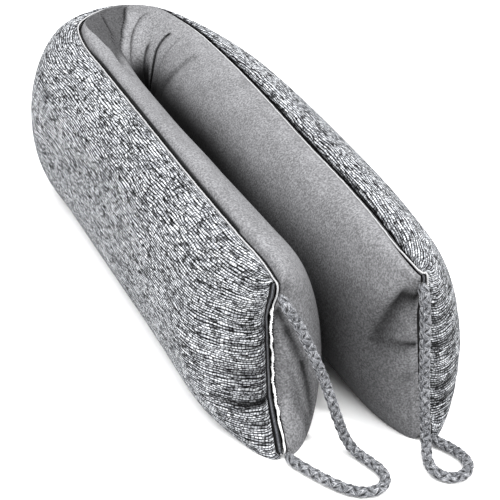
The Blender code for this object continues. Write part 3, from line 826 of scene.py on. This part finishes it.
def weave_velvet():
    """Fine pile grain, soft patches where the pile lies another way, and painted shade in the pleats and at
    the seams.
    """
    velvet = ClothFinish("grey_velvet")
    place = velvet.object_place()
    grain = velvet.noise(place, 820.0, 1.0, 0.5)
    patches = velvet.noise(place, 60.0, 3.0, 0.6)
    stretched = velvet.node("ShaderNodeVectorMath", {0: place, 1: (110.0, 34.0, 90.0)}, operation="MULTIPLY")
    lie = velvet.noise(stretched.outputs["Vector"], 1.0, 3.0, 0.6)
    tone = velvet.add(velvet.times(grain, 0.70), velvet.times(patches, 0.15), velvet.times(lie, 0.15))
    color = velvet.colors(tone, [(0.36, (0.095, 0.095, 0.098)), (0.50, (0.150, 0.150, 0.156)),
                                 (0.64, (0.220, 0.221, 0.229))])
    along_end = velvet.value_of("along_end")
    wander = velvet.noise(velvet.vector(velvet.times(along_end, 240.0), 0.0), 1.0, 2.0, 0.6)
    ticks = velvet.add(velvet.times(along_end, 2 * pi / TICK_PITCH), velvet.times(wander, 9.0))
    ticks = velvet.between(velvet.math("SINE", ticks), 0.1, 1.0)
    ticks = velvet.times(ticks, velvet.value_of("near_end"), velvet.between(wander, 0.35, 0.6))
    # painted shade: in the ticks, from the dark attribute, and nearly black on the walls of the groove
    shade = velvet.math("SUBTRACT", 1.0, velvet.times(ticks, TICKS_DARKNESS))
    shade = velvet.times(shade, velvet.math("SUBTRACT", 1.0, velvet.value_of("dark")))
    shade = velvet.times(shade, velvet.between(velvet.value_of("in_slot"), 0.0, 0.30, 1.0, 0.02))
    height = velvet.math("SUBTRACT", velvet.times(grain, 0.7), velvet.times(ticks, 1.2))
    return velvet.done(velvet.shade(color, shade), 0.9, velvet.relief(height, 0.0006, 0.7),
                       sheen=0.03, sheen_roughness=0.4)


def stuff_velvet():
    """One closed skin: the velvet in sight, the part under the linen, and the groove between them."""
    sections = cut_sections(**VELVET_SECTIONS)
    angles = angles_round(VELVET_ANGLES)
    rows, columns = len(sections.run), len(angles)
    count = rows * columns
    velvet = skin(sections, angles, -1)
    covered = skin(sections, angles, 1, across_tape=(np.arange(rows) > 0)[:, None] * 1.0)
    outwards = skin_normal(sections, angles, 1)
    covered = covered - (cloth_depth(sections, angles) + PIECE_GAP)[..., None] * outwards
    seam = 0.5 * (velvet + skin(sections, angles, 1, across_tape=0.0))
    slot = (seam - SLOT_DEPTH * outwards).reshape(-1, 3)
    rim = rim_of(rows, columns)
    points = np.concatenate([velvet.reshape(-1, 3), covered.reshape(-1, 3), slot[rim]])
    slot_rim = 2 * count + np.arange(len(rim))
    faces = np.concatenate([
        grid_faces(rows, columns),
        grid_faces(rows, columns, count)[:, ::-1],
        band_faces(rim, slot_rim),
        band_faces(slot_rim, count + rim),
    ])
    hidden = np.zeros(len(points) - count)
    from_left = np.where(sections.end < 0, np.linalg.norm(velvet - velvet[:1], axis=2), TICKS_REACH)
    from_right = np.where(sections.end > 0, np.linalg.norm(velvet - velvet[-1:], axis=2), TICKS_REACH)
    near_end = soft_step(1 - np.minimum(from_left, from_right) / TICKS_REACH)
    along_end = np.broadcast_to(round_lengths(velvet[:1]), (rows, columns))
    # the walls of the groove are painted nearly black, as shade
    in_slot = np.ones(len(points))
    in_slot[: 2 * count] = 0.0
    # painted shade: the deeper the velvet lies between the two arms, the less light it gets, and the
    #     # darker it is painted
    to_fold = change(along(sections.run, "seam_y"), *ENDS_TO_FOLD_Y)

    def towards_fold(value):
        return value["ends"] + (value["fold"] - value["ends"]) * to_fold

    between_arms_shade = soft_step((angles[None] - towards_fold(SHADE_FROM)) / towards_fold(SHADE_OVER))
    between_arms_shade = between_arms_shade * towards_fold(SHADE_DEPTH) * sections.opening
    # painted shade of the pleats and the pulls, with the rope's shadow on the left end, and by the groove
    dark = np.maximum(pleat_relief(sections.run, angles[None])[1], pull_relief(sections, angles[None])[1])
    dark = 1 - (1 - dark) * (1 - between_arms_shade)
    dark = np.maximum(dark, groove_shade(sections.run, round_lengths(velvet), -1) * (sections.end == 0))
    layers = {
        "near_end": np.concatenate([near_end.ravel(), hidden]),
        "along_end": np.concatenate([along_end.ravel(), hidden]),
        "dark": np.concatenate([dark.ravel(), hidden]),
        "in_slot": in_slot,
    }
    piece = sew_piece("velvet_side", points, faces, weave_velvet(), layers)
    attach(piece, "root")
    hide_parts("filled_body")


stuff_velvet()

# Linen-look panel
# A coarse upholstery cloth of thick black, grey and white melange threads, 2 mm thick. It wraps
# the outer side of the tube and is gathered into the two end seams.
WEFT_PITCH = 0.00175
FLOAT_LENGTH = 0.00230
LINEN_SECTIONS = {"cap_rows": 34, "arm_step": 0.0036, "fold_step": 0.0028}
LINEN_ANGLES = 120


def weave_linen():
    """Light threads along the cushion in short floats, with dark gaps between and under them, painted
    shade in the gathers and beside the groove, and a nearly black inner side.
    """
    linen = ClothFinish("linen_melange")
    u, v = linen.map_of("weave")
    drift = linen.noise(linen.vector(linen.times(u, 38.0), linen.times(v, 120.0)), 1.0, 2.0, 0.5)
    sway = linen.noise(linen.vector(linen.times(u, 150.0), linen.times(v, 60.0), 5.0), 1.0, 2.0, 0.5)
    row = linen.add(linen.times(v, 1 / WEFT_PITCH), linen.times(drift, 3.0))
    row_index = linen.math("FLOOR", row)
    shift = linen.chance(linen.vector(row_index, 5.0))
    column = linen.add(linen.times(u, 1 / FLOAT_LENGTH), linen.times(sway, 1.8), linen.times(shift, 7.0))
    column_index = linen.math("FLOOR", column)
    row_round = linen.math("SINE", linen.times(linen.math("FRACT", row), pi))
    column_round = linen.math("SINE", linen.times(linen.math("FRACT", column), pi))
    streaks = linen.noise(linen.vector(linen.times(u, 190.0), linen.times(row_index, 13.7)), 1.0, 1.0, 0.5)
    cell = linen.chance(linen.vector(row_index, column_index, 2.0))
    patches = linen.noise(linen.vector(linen.times(u, 26.0), linen.times(v, 60.0), 9.0), 1.0, 3.0, 0.6)
    tone = linen.add(linen.times(streaks, 0.44), linen.times(cell, 0.26), linen.times(patches, 0.30))
    color = linen.colors(tone, [(0.36, (0.200, 0.206, 0.222)), (0.45, (0.420, 0.433, 0.458)),
                                (0.54, (0.540, 0.556, 0.582)), (0.68, (0.700, 0.714, 0.735))])
    loose = linen.noise(linen.vector(linen.times(u, 120.0), linen.times(row_index, 7.9), 4.0), 1.0, 1.0, 0.5)
    row_gaps = linen.between(row_round, 0.25, 0.98, linen.between(loose, 0.38, 0.52, 0.20, 0.0), 1.0)
    column_gaps = linen.between(column_round, 0.0, 0.65, 0.06, 1.0)
    folds = linen.noise(linen.vector(linen.times(u, 95.0), linen.times(v, 480.0), 6.0), 1.0, 1.0, 0.5)
    cracks = linen.between(linen.math("ABSOLUTE", linen.math("SUBTRACT", folds, 0.5)), 0.0, 0.070, 0.02, 1.0)
    threads = linen.add(linen.times(row_round, 0.5), linen.times(column_round, 0.25))
    height = linen.add(threads, linen.times(cracks, 0.25))
    # painted shade in the gathers and beside the groove; the inner side, marked by in_slot, nearly black
    shade = linen.times(row_gaps, column_gaps, cracks, linen.math("SUBTRACT", 1.0, linen.value_of("dark")))
    shade = linen.times(shade, linen.between(linen.value_of("in_slot"), 0.0, 0.4, 1.0, 0.04))
    return linen.done(linen.shade(color, shade), 0.95, linen.relief(height, 0.0007, 0.7), sheen=0.01)


def wrap_linen():
    """The linen's outer and inner side and its edges, as one closed shell."""
    sections = cut_sections(**LINEN_SECTIONS)
    angles = angles_round(LINEN_ANGLES)
    rows, columns = len(sections.run), len(angles)
    count = rows * columns
    outer = skin(sections, angles, 1)
    inner = outer - cloth_depth(sections, angles)[..., None] * skin_normal(sections, angles, 1)
    rim = rim_of(rows, columns)
    faces = np.concatenate([
        grid_faces(rows, columns)[:, ::-1],
        grid_faces(rows, columns, count),
        band_faces(rim, count + rim)[:, ::-1],
    ])
    # the weave runs on over the ends at its own scale, so lengths there are measured on the cloth
    steps = np.linalg.norm(np.diff(outer, axis=0), axis=2)
    left, right = (sections.end[:-1] < 0) * steps, (sections.end[1:] > 0) * steps
    ends = np.zeros((1, columns))
    from_left = np.concatenate([np.cumsum(left[::-1], axis=0)[::-1], ends])
    from_right = np.concatenate([ends, np.cumsum(right, axis=0)])
    u = np.clip(sections.run, CAP_LENGTH, SEAM_LENGTH - CAP_LENGTH) - from_left + from_right
    v = round_lengths(outer)
    # painted shade beside the groove and in the gathers
    dark = groove_shade(sections.run, v, 1) * (sections.end == 0)
    dark = np.maximum(dark, gather_relief(sections, angles[None])[1]).ravel()
    v = v - v[:, columns // 2][:, None]
    weave = np.stack([u, v], axis=-1).reshape(-1, 2) + 0.5
    layers = {
        "weave": np.concatenate([weave, weave]),
        "dark": np.concatenate([dark, dark]),
        "in_slot": np.concatenate([np.zeros(count), np.ones(count)]),
    }
    points = np.concatenate([outer.reshape(-1, 3), inner.reshape(-1, 3)])
    piece = sew_piece("linen_side", points, faces, weave_linen(), layers)
    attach(piece, "root")
    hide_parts("linen_panel")


wrap_linen()

# End tapes
# A strip of dark woven tape, 3.4 mm of it in sight, binds the linen's edge along each end seam
# and sinks under the linen's gathers.
TAPE_ROWS = 9
TAPE_COLUMNS = 150
TAPE_SWELL = 0.0003
TAPE_SINK = 0.0013
TAPE_SINK_FROM = 0.55
TAPE_BELOW_SEAM = 0.0004
TAPE_RIPPLES = ((0.0061, 0.00010), (0.0093, 0.00014), (0.017, 0.00018))
TAPE_RIPPLES_SEED = 5


def weave_tape():
    """Close dark threads across the strip, with painted shade at both edges where it goes under its
    neighbours.
    """
    tape = ClothFinish("dark_tape")
    u, v = tape.map_of("tape")
    threads = tape.noise(tape.vector(tape.times(u, 500.0), tape.times(v, 1900.0)), 1.0, 2.0, 0.6)
    color = tape.colors(threads, [(0.32, (0.030, 0.031, 0.036)), (0.68, (0.130, 0.134, 0.146))])
    # painted shade along both edges, where the tape goes under the piping and the linen
    piping_edge_shade = tape.between(u, 0.0003, 0.0014, 0.06, 1.0)
    linen_edge_shade = tape.between(u, 0.0014, 0.0024, 1.0, 0.04)
    color = tape.shade(color, tape.times(piping_edge_shade, linen_edge_shade))
    return tape.done(color, 0.85, tape.relief(threads, 0.0003, 0.7), sheen=0.1)


def ripples(seed, run, waves):
    """Small uneven waves along a seam, the same each time, from pairs of length and height."""
    maker = np.random.default_rng(seed)
    return sum(height * np.sin(2 * pi * run / length + maker.uniform(0, 2 * pi)) for length, height in waves)


def bind_end(name, end, node):
    """The strip down one end, -1 for the left one and 1 for the right one."""
    edge = Sections([0.0 if end < 0 else SEAM_LENGTH], [0.0], [end])
    angles = np.linspace(0, 180, TAPE_COLUMNS)
    near = skin(edge, angles, 1, 0.0)[0]
    far = skin(edge, angles, 1, 1.0)[0]
    out = skin_normal(edge, angles, 1)[0]
    run = round_lengths(near[None])[0]
    width = np.linalg.norm(far - near, axis=1)
    across = np.linspace(0, 1, TAPE_ROWS)[:, None]
    share = across * (1 - TAPE_GAP / width)[None]
    flat = near[None] + (far - near)[None] * share[..., None]
    swell = TAPE_SWELL * np.sin(pi * across) - TAPE_SINK * change(across, TAPE_SINK_FROM, 1.0)
    swell = swell + ripples(TAPE_RIPPLES_SEED, run, TAPE_RIPPLES)[None] - TAPE_BELOW_SEAM
    outer = flat + out[None] * swell[..., None]
    inner = flat - out[None] * cloth_depth(edge, angles)[0][None, :, None]
    count = TAPE_ROWS * TAPE_COLUMNS
    rim = rim_of(TAPE_ROWS, TAPE_COLUMNS)
    faces = np.concatenate([
        grid_faces(TAPE_ROWS, TAPE_COLUMNS),
        grid_faces(TAPE_ROWS, TAPE_COLUMNS, count)[:, ::-1],
        band_faces(rim, count + rim),
    ])
    faces = faces[:, ::-1] if end < 0 else faces
    tape_map = np.stack(np.broadcast_arrays(across * TAPE_WIDTH, run[None]), axis=-1).reshape(-1, 2)
    points = np.concatenate([outer.reshape(-1, 3), inner.reshape(-1, 3)])
    piece = sew_piece(name, points, faces, DARK_TAPE, {"tape": np.concatenate([tape_map, tape_map])})
    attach(piece, "root")
    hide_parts(node)


DARK_TAPE = weave_tape()
bind_end("binding_left", -1, "end_tape_left")
bind_end("binding_right", 1, "end_tape_right")

# Piping
# A thin pale cord sewn in all round the seam, between the velvet and the linen. At the left end
# the white lining is turned out beside it, so it looks thicker and whiter there.
PIPING_GIRTH = 0.00054
LINING_GIRTH = 0.00070
PIPING_SIDES = 10
PIPING_SHIFT = np.array([-0.00125, 0.00062, 0.0003])
PIPING_CLEAR = 0.0002

# How closely the seam is followed, and how its corners are rounded off
SEAM_STEP = 0.0016
SEAM_CORNER = 0.003
END_SEAM_POINTS = 80
SEAM_SMOOTHINGS = 8

# The lining shows below the one height, and less of it below the other
LINING_TOP = 0.101
LINING_THIN = 0.018
LINING_THIN_SHARE = 0.55

# At the right end the cord crosses over to the linen and sinks under its gathers
PIPING_SUNK = 0.0018
PIPING_LOW = 0.112
PIPING_LOW_FADE = 0.010
PIPING_CROSSING = 0.048

# Unevenness of its thickness and of its course
GIRTH_RIPPLES = ((0.0047, 0.06), (0.0073, 0.08), (0.0118, 0.08))
GIRTH_RIPPLES_SEED = 3
GIRTH_UNEVENNESS = {"cord": 0.3, "lining": 2.7}
WANDER_RIPPLES = ((0.0083, 0.00012), (0.013, 0.00020), (0.031, 0.00022))
WANDER_RIPPLES_SEED = 4
WANDER_SHARE = 0.3


def spin_piping():
    """Twisted cotton, grey along the arms and white where the lining shows."""
    cotton = ClothFinish("piping_cotton")
    fibres = cotton.noise(cotton.object_place(), 1700.0, 2.0, 0.6)
    plain = cotton.colors(fibres, [(0.32, (0.26, 0.26, 0.265)), (0.68, (0.52, 0.52, 0.53))])
    lining = cotton.colors(fibres, [(0.32, (0.70, 0.70, 0.70)), (0.68, (0.95, 0.95, 0.95))])
    mixed = cotton.node("ShaderNodeMix", {0: cotton.value_of("lining")}, data_type="RGBA")
    cotton.feed(mixed.inputs["A"], plain)
    cotton.feed(mixed.inputs["B"], lining)
    return cotton.done(mixed.outputs["Result"], 0.8, cotton.relief(fibres, 0.0003, 0.5))


def seam_round():
    """The seam once round: points, ways out of it, where the piping lies and how much lining shows."""
    between = np.arange(SEAM_CORNER, SEAM_LENGTH - SEAM_CORNER, SEAM_STEP)
    runs = np.concatenate([[0.0], between, [SEAM_LENGTH]])
    from_end = np.minimum(runs, SEAM_LENGTH - runs) / CAP_LENGTH
    cap = np.degrees(np.arccos(np.clip(1 - from_end, 0, 1)))
    end = np.where(from_end >= 1, 0.0, np.where(runs < 0.5 * SEAM_LENGTH, -1.0, 1.0))
    lengthwise = Sections(runs, cap, end)
    down = np.degrees(np.arccos(np.linspace(1, -1, END_SEAM_POINTS)[1:-1]))
    right_end, left_end = Sections([SEAM_LENGTH], [0.0], [1.0]), Sections([0.0], [0.0], [-1.0])
    points, ways, shifts, lining = [], [], [], []
    for sections, angles, backwards in (
        (lengthwise, np.array([0.0]), False),
        (right_end, down, False),
        (lengthwise, np.array([180.0]), True),
        (left_end, down, True),
    ):
        middle = 0.5 * (skin(sections, angles, -1) + skin(sections, angles, 1, 0.0)).reshape(-1, 3)
        out = skin_normal(sections, angles, 1).reshape(-1, 3)
        at_left = np.full(len(middle), 1.0 * (sections is left_end))
        at_left = at_left * (middle[:, 2] < LINING_TOP)
        at_left = at_left * np.where(middle[:, 2] > LINING_THIN, 1.0, LINING_THIN_SHARE)
        if sections is right_end:
            sunk = PIPING_SUNK * soft_step((PIPING_LOW - middle[:, 2]) / PIPING_LOW_FADE)
            middle = skin(sections, angles, 1, 1.0).reshape(-1, 3) - out * sunk[:, None]
        elif sections is lengthwise:
            to_linen = soft_step(1 - (SEAM_LENGTH - runs) / PIPING_CROSSING)[:, None]
            middle = middle + (skin(sections, angles, 1, 1.0).reshape(-1, 3) - middle) * to_linen
        order = slice(None, None, -1 if backwards else 1)
        shift = PIPING_SHIFT if sections is lengthwise else np.zeros(3)
        points.append(middle[order])
        ways.append(out[order])
        shifts.append(np.broadcast_to(shift, middle.shape))
        lining.append(at_left[order])
    lining, shifts = np.concatenate(lining), np.concatenate(shifts)
    for _ in range(SEAM_SMOOTHINGS):
        lining = 0.5 * lining + 0.25 * np.roll(lining, 1) + 0.25 * np.roll(lining, -1)
        shifts = 0.5 * shifts + 0.25 * np.roll(shifts, 1, axis=0) + 0.25 * np.roll(shifts, -1, axis=0)
    return np.concatenate(points), np.concatenate(ways), shifts, lining


def start_tree(name, inputs):
    """A geometry tree that takes a line and the named sizes, and its input node."""
    tree = bpy.data.node_groups.new(name, "GeometryNodeTree")
    tree.interface.new_socket("Geometry", in_out="INPUT", socket_type="NodeSocketGeometry")
    for label, kind in inputs.items():
        tree.interface.new_socket(label, in_out="INPUT", socket_type=kind)
    tree.interface.new_socket("Geometry", in_out="OUTPUT", socket_type="NodeSocketGeometry")
    return tree, tree.nodes.new("NodeGroupInput").outputs


def finish_tree(tree, geometry, material):
    realized = add_node(tree, "GeometryNodeRealizeInstances", {"Geometry": geometry})
    smooth = add_node(tree, "GeometryNodeSetShadeSmooth", {"Geometry": realized.outputs[0]})
    dressed = add_node(tree, "GeometryNodeSetMaterial", {"Geometry": smooth.outputs[0],
                                                         "Material": material})
    add_node(tree, "NodeGroupOutput", {0: dressed.outputs[0]})
    return tree


def piping_tree():
    """Sweeps a round section along the line, as thick as the line's own girth."""
    tree, given = start_tree("piping_sweep", {"Girth": "NodeSocketFloat", "Sides": "NodeSocketInt",
                                              "Material": "NodeSocketMaterial"})
    line = add_node(tree, "GeometryNodeMeshToCurve", {"Mesh": given["Geometry"]})
    girth = add_node(tree, "GeometryNodeInputNamedAttribute", {"Name": "girth"}, data_type="FLOAT")
    section = add_node(tree, "GeometryNodeCurvePrimitiveCircle", {"Resolution": given["Sides"],
                                                                  "Radius": given["Girth"]})
    swept = add_node(tree, "GeometryNodeCurveToMesh", {"Curve": line.outputs[0],
                                                       "Profile Curve": section.outputs[0],
                                                       "Scale": girth.outputs[0]})
    return finish_tree(tree, swept.outputs[0], given["Material"])


def stitch_tree():
    """Sets one small stitch after another on the line, each turned a little its own way."""
    tree, given = start_tree("stitch_row", {
        "Pitch": "NodeSocketFloat", "Length": "NodeSocketFloat", "Thickness": "NodeSocketFloat",
        "Slant": "NodeSocketFloat", "Unevenness": "NodeSocketFloat", "Seed": "NodeSocketInt",
        "Material": "NodeSocketMaterial",
    })
    line = add_node(tree, "GeometryNodeMeshToCurve", {"Mesh": given["Geometry"]})
    spaced = add_node(tree, "GeometryNodeResampleCurve", {"Curve": line.outputs[0],
                                                          "Length": given["Pitch"]}, mode="LENGTH")
    thread = add_node(tree, "GeometryNodeMeshUVSphere", {"Segments": 8, "Rings": 6, "Radius": 0.5})
    size = add_node(tree, "ShaderNodeCombineXYZ", {"X": given["Length"], "Y": given["Thickness"],
                                                   "Z": given["Thickness"]})
    stitch = add_node(tree, "GeometryNodeTransform", {"Geometry": thread.outputs[0],
                                                      "Scale": size.outputs[0]})
    ahead = add_node(tree, "GeometryNodeInputTangent", {})
    out = add_node(tree, "GeometryNodeInputNamedAttribute", {"Name": "out"}, data_type="FLOAT_VECTOR")
    facing = add_node(tree, "FunctionNodeAlignRotationToVector", {"Vector": out.outputs[0]}, axis="Z")
    laid = add_node(tree, "FunctionNodeAlignRotationToVector", {"Rotation": facing.outputs[0],
                                                                "Vector": ahead.outputs[0]},
                    axis="X", pivot_axis="Z")
    least = add_node(tree, "ShaderNodeMath", {0: given["Slant"], 1: given["Unevenness"]},
                     operation="SUBTRACT")
    most = add_node(tree, "ShaderNodeMath", {0: given["Slant"], 1: given["Unevenness"]},
                    operation="ADD")
    uneven = add_node(tree, "FunctionNodeRandomValue", {"Min": least.outputs[0], "Max": most.outputs[0],
                                                        "Seed": given["Seed"]}, data_type="FLOAT")
    turn = add_node(tree, "ShaderNodeCombineXYZ", {"Z": uneven.outputs["Value"]})
    set_down = add_node(tree, "GeometryNodeInstanceOnPoints", {"Points": spaced.outputs[0],
                                                               "Instance": stitch.outputs[0],
                                                               "Rotation": laid.outputs[0]})
    turned = add_node(tree, "GeometryNodeRotateInstances", {"Instances": set_down.outputs[0],
                                                            "Rotation": turn.outputs[0]})
    return finish_tree(tree, turned.outputs[0], given["Material"])


def run_along(name, line, closed, layers, tree, sizes):
    """Runs a tree on a line of points and keeps its result as a plain mesh piece."""
    count = len(line)
    edges = [(index, (index + 1) % count) for index in range(count if closed else count - 1)]
    mesh = bpy.data.meshes.new(name)
    mesh.from_pydata((line - BOX_MIDDLE).tolist(), edges, [])
    for layer, values in layers.items():
        values = np.asarray(values, np.float32)
        if values.ndim == 2:
            mesh.attributes.new(layer, "FLOAT_VECTOR", "POINT").data.foreach_set("vector", values.ravel())
        else:
            mesh.attributes.new(layer, "FLOAT", "POINT").data.foreach_set("value", values)
    piece = bpy.data.objects.new(name, mesh)
    bpy.context.scene.collection.objects.link(piece)
    modifier = piece.modifiers.new("tree", "NODES")
    modifier.node_group = tree
    for item in tree.interface.items_tree:
        if item.in_out == "INPUT" and item.name in sizes:
            modifier[item.identifier] = sizes[item.name]
    bpy.context.view_layer.update()
    graph = bpy.context.evaluated_depsgraph_get()
    made = bpy.data.meshes.new_from_object(piece.evaluated_get(graph), depsgraph=graph)
    piece.modifiers.remove(modifier)
    piece.data = made
    bpy.data.meshes.remove(mesh)
    made.name = name
    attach(piece, "root")
    return piece


SEAM_LINE, SEAM_OUT, PIPING_PLACE, LINING_SHARE = seam_round()
seam_run = np.concatenate([[0.0], np.cumsum(np.linalg.norm(np.diff(SEAM_LINE, axis=0), axis=1))])
seam_ahead = unit(np.roll(SEAM_LINE, -1, axis=0) - np.roll(SEAM_LINE, 1, axis=0))
seam_aside = unit(np.cross(seam_ahead, SEAM_OUT))
unevenness = (1 - LINING_SHARE) * GIRTH_UNEVENNESS["cord"] + LINING_SHARE * GIRTH_UNEVENNESS["lining"]
unevenness = unevenness * ripples(GIRTH_RIPPLES_SEED, seam_run, GIRTH_RIPPLES)
piping_girth = (PIPING_GIRTH + (LINING_GIRTH - PIPING_GIRTH) * LINING_SHARE) * (1 + unevenness)
wander = ripples(WANDER_RIPPLES_SEED, seam_run, WANDER_RIPPLES) * (WANDER_SHARE + LINING_SHARE)
piping_line = SEAM_LINE + PIPING_PLACE + seam_aside * wander[:, None]
piping_line[:, 2] = np.maximum(piping_line[:, 2], piping_girth + PIPING_CLEAR)
piping = run_along("piping", piping_line, True, {"girth": piping_girth, "lining": LINING_SHARE},
                   piping_tree(), {"Girth": 1.0, "Sides": PIPING_SIDES, "Material": spin_piping()})
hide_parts("seam_piping")

# Stitches
# A row of dark lockstitches holds the two cloths together at the bottom of the groove, and
# white overcast stitches hold the edge of the lining at the left end.
LOCKSTITCH = {"Pitch": 0.0034, "Length": 0.0028, "Thickness": 0.0005, "Slant": 0.12, "Unevenness": 0.08}
OVERCAST = {"Pitch": 0.0019, "Length": 0.0026, "Thickness": 0.0007, "Slant": 0.75, "Unevenness": 0.45}
GROOVE_DEPTH = 0.0014
GROOVE_SHIFT = np.array([0.0007, -0.0004, 0.0])
STITCH_LEAST_HEIGHT = 0.0006
LINING_SHOWS = 0.9
OVERCAST_RISE = 0.0006


def spin_thread(name, dark, light):
    thread = ClothFinish(name)
    ply = thread.noise(thread.object_place(), 2600.0, 1.0, 0.5)
    color = thread.colors(ply, [(0.35, (dark, dark, dark)), (0.65, (light, light, light * 1.02))])
    return thread.done(color, 0.7, thread.relief(ply, 0.0002, 0.5), specular=0.3)


groove = SEAM_LINE - SEAM_OUT * GROOVE_DEPTH + GROOVE_SHIFT * (1 - LINING_SHARE)[:, None]
groove[:, 2] = np.maximum(groove[:, 2], STITCH_LEAST_HEIGHT)
stitches = stitch_tree()
dark_thread = spin_thread("dark_thread", 0.02, 0.06)
run_along("lockstitches", groove, True, {"out": SEAM_OUT}, stitches,
          LOCKSTITCH | {"Seed": 7, "Material": dark_thread})
at_left = LINING_SHARE > LINING_SHOWS
lining_line = piping_line[at_left] + SEAM_OUT[at_left] * OVERCAST_RISE
white_thread = spin_thread("white_thread", 0.80, 0.97)
run_along("overcast_stitches", lining_line, False, {"out": SEAM_OUT[at_left]}, stitches,
          OVERCAST | {"Seed": 11, "Material": white_thread})

# Floor and light
# A pale matt floor under a wide soft light from above, with weaker lamps at the front right
# and the left.
FLOOR_HALF = 3.0
FLOOR_CLEAR = 0.0002
WORLD_STRENGTH = 0.72
TOP_LIGHT = {"strength": 4.1, "towards": (0.06, -0.12, 1.0), "softness": 60.0}
SIDE_LIGHT = {"strength": 2.6, "towards": (0.50, -0.80, 0.80), "softness": 5.0}
FILL_LIGHT = {"strength": 2.2, "towards": (-0.90, 0.05, 0.90), "softness": 60.0}


def paint_floor():
    paint = ClothFinish("floor_paint")
    speckle = paint.noise(paint.object_place(), 30.0, 2.0, 0.5)
    color = paint.colors(speckle, [(0.0, (0.90, 0.90, 0.90)), (1.0, (0.92, 0.92, 0.92))])
    return paint.done(color, 0.9, paint.relief(speckle, 0.0001, 0.05))


corners = ((-1, -1), (1, -1), (1, 1), (-1, 1))
floor_corners = np.array([(x * FLOOR_HALF, y * FLOOR_HALF, -FLOOR_CLEAR) for x, y in corners])
sew_piece("floor", floor_corners + BOX_MIDDLE, [(0, 1, 2, 3)], paint_floor(), {})

studio = bpy.data.worlds.new("studio")
studio.use_nodes = True
studio.node_tree.nodes["Background"].inputs["Color"].default_value = (1.0, 1.0, 1.0, 1.0)
studio.node_tree.nodes["Background"].inputs["Strength"].default_value = WORLD_STRENGTH
bpy.context.scene.world = studio
for name, light in (("top_light", TOP_LIGHT), ("side_light", SIDE_LIGHT), ("fill_light", FILL_LIGHT)):
    lamp_data = bpy.data.lights.new(name, "SUN")
    lamp_data.energy = light["strength"]
    lamp_data.angle = radians(light["softness"])
    lamp = bpy.data.objects.new(name, lamp_data)
    lamp.rotation_euler = Vector(light["towards"]).to_track_quat("Z", "Y").to_euler()
    bpy.context.scene.collection.objects.link(lamp)
bpy.context.scene.view_settings.view_transform = "Standard"
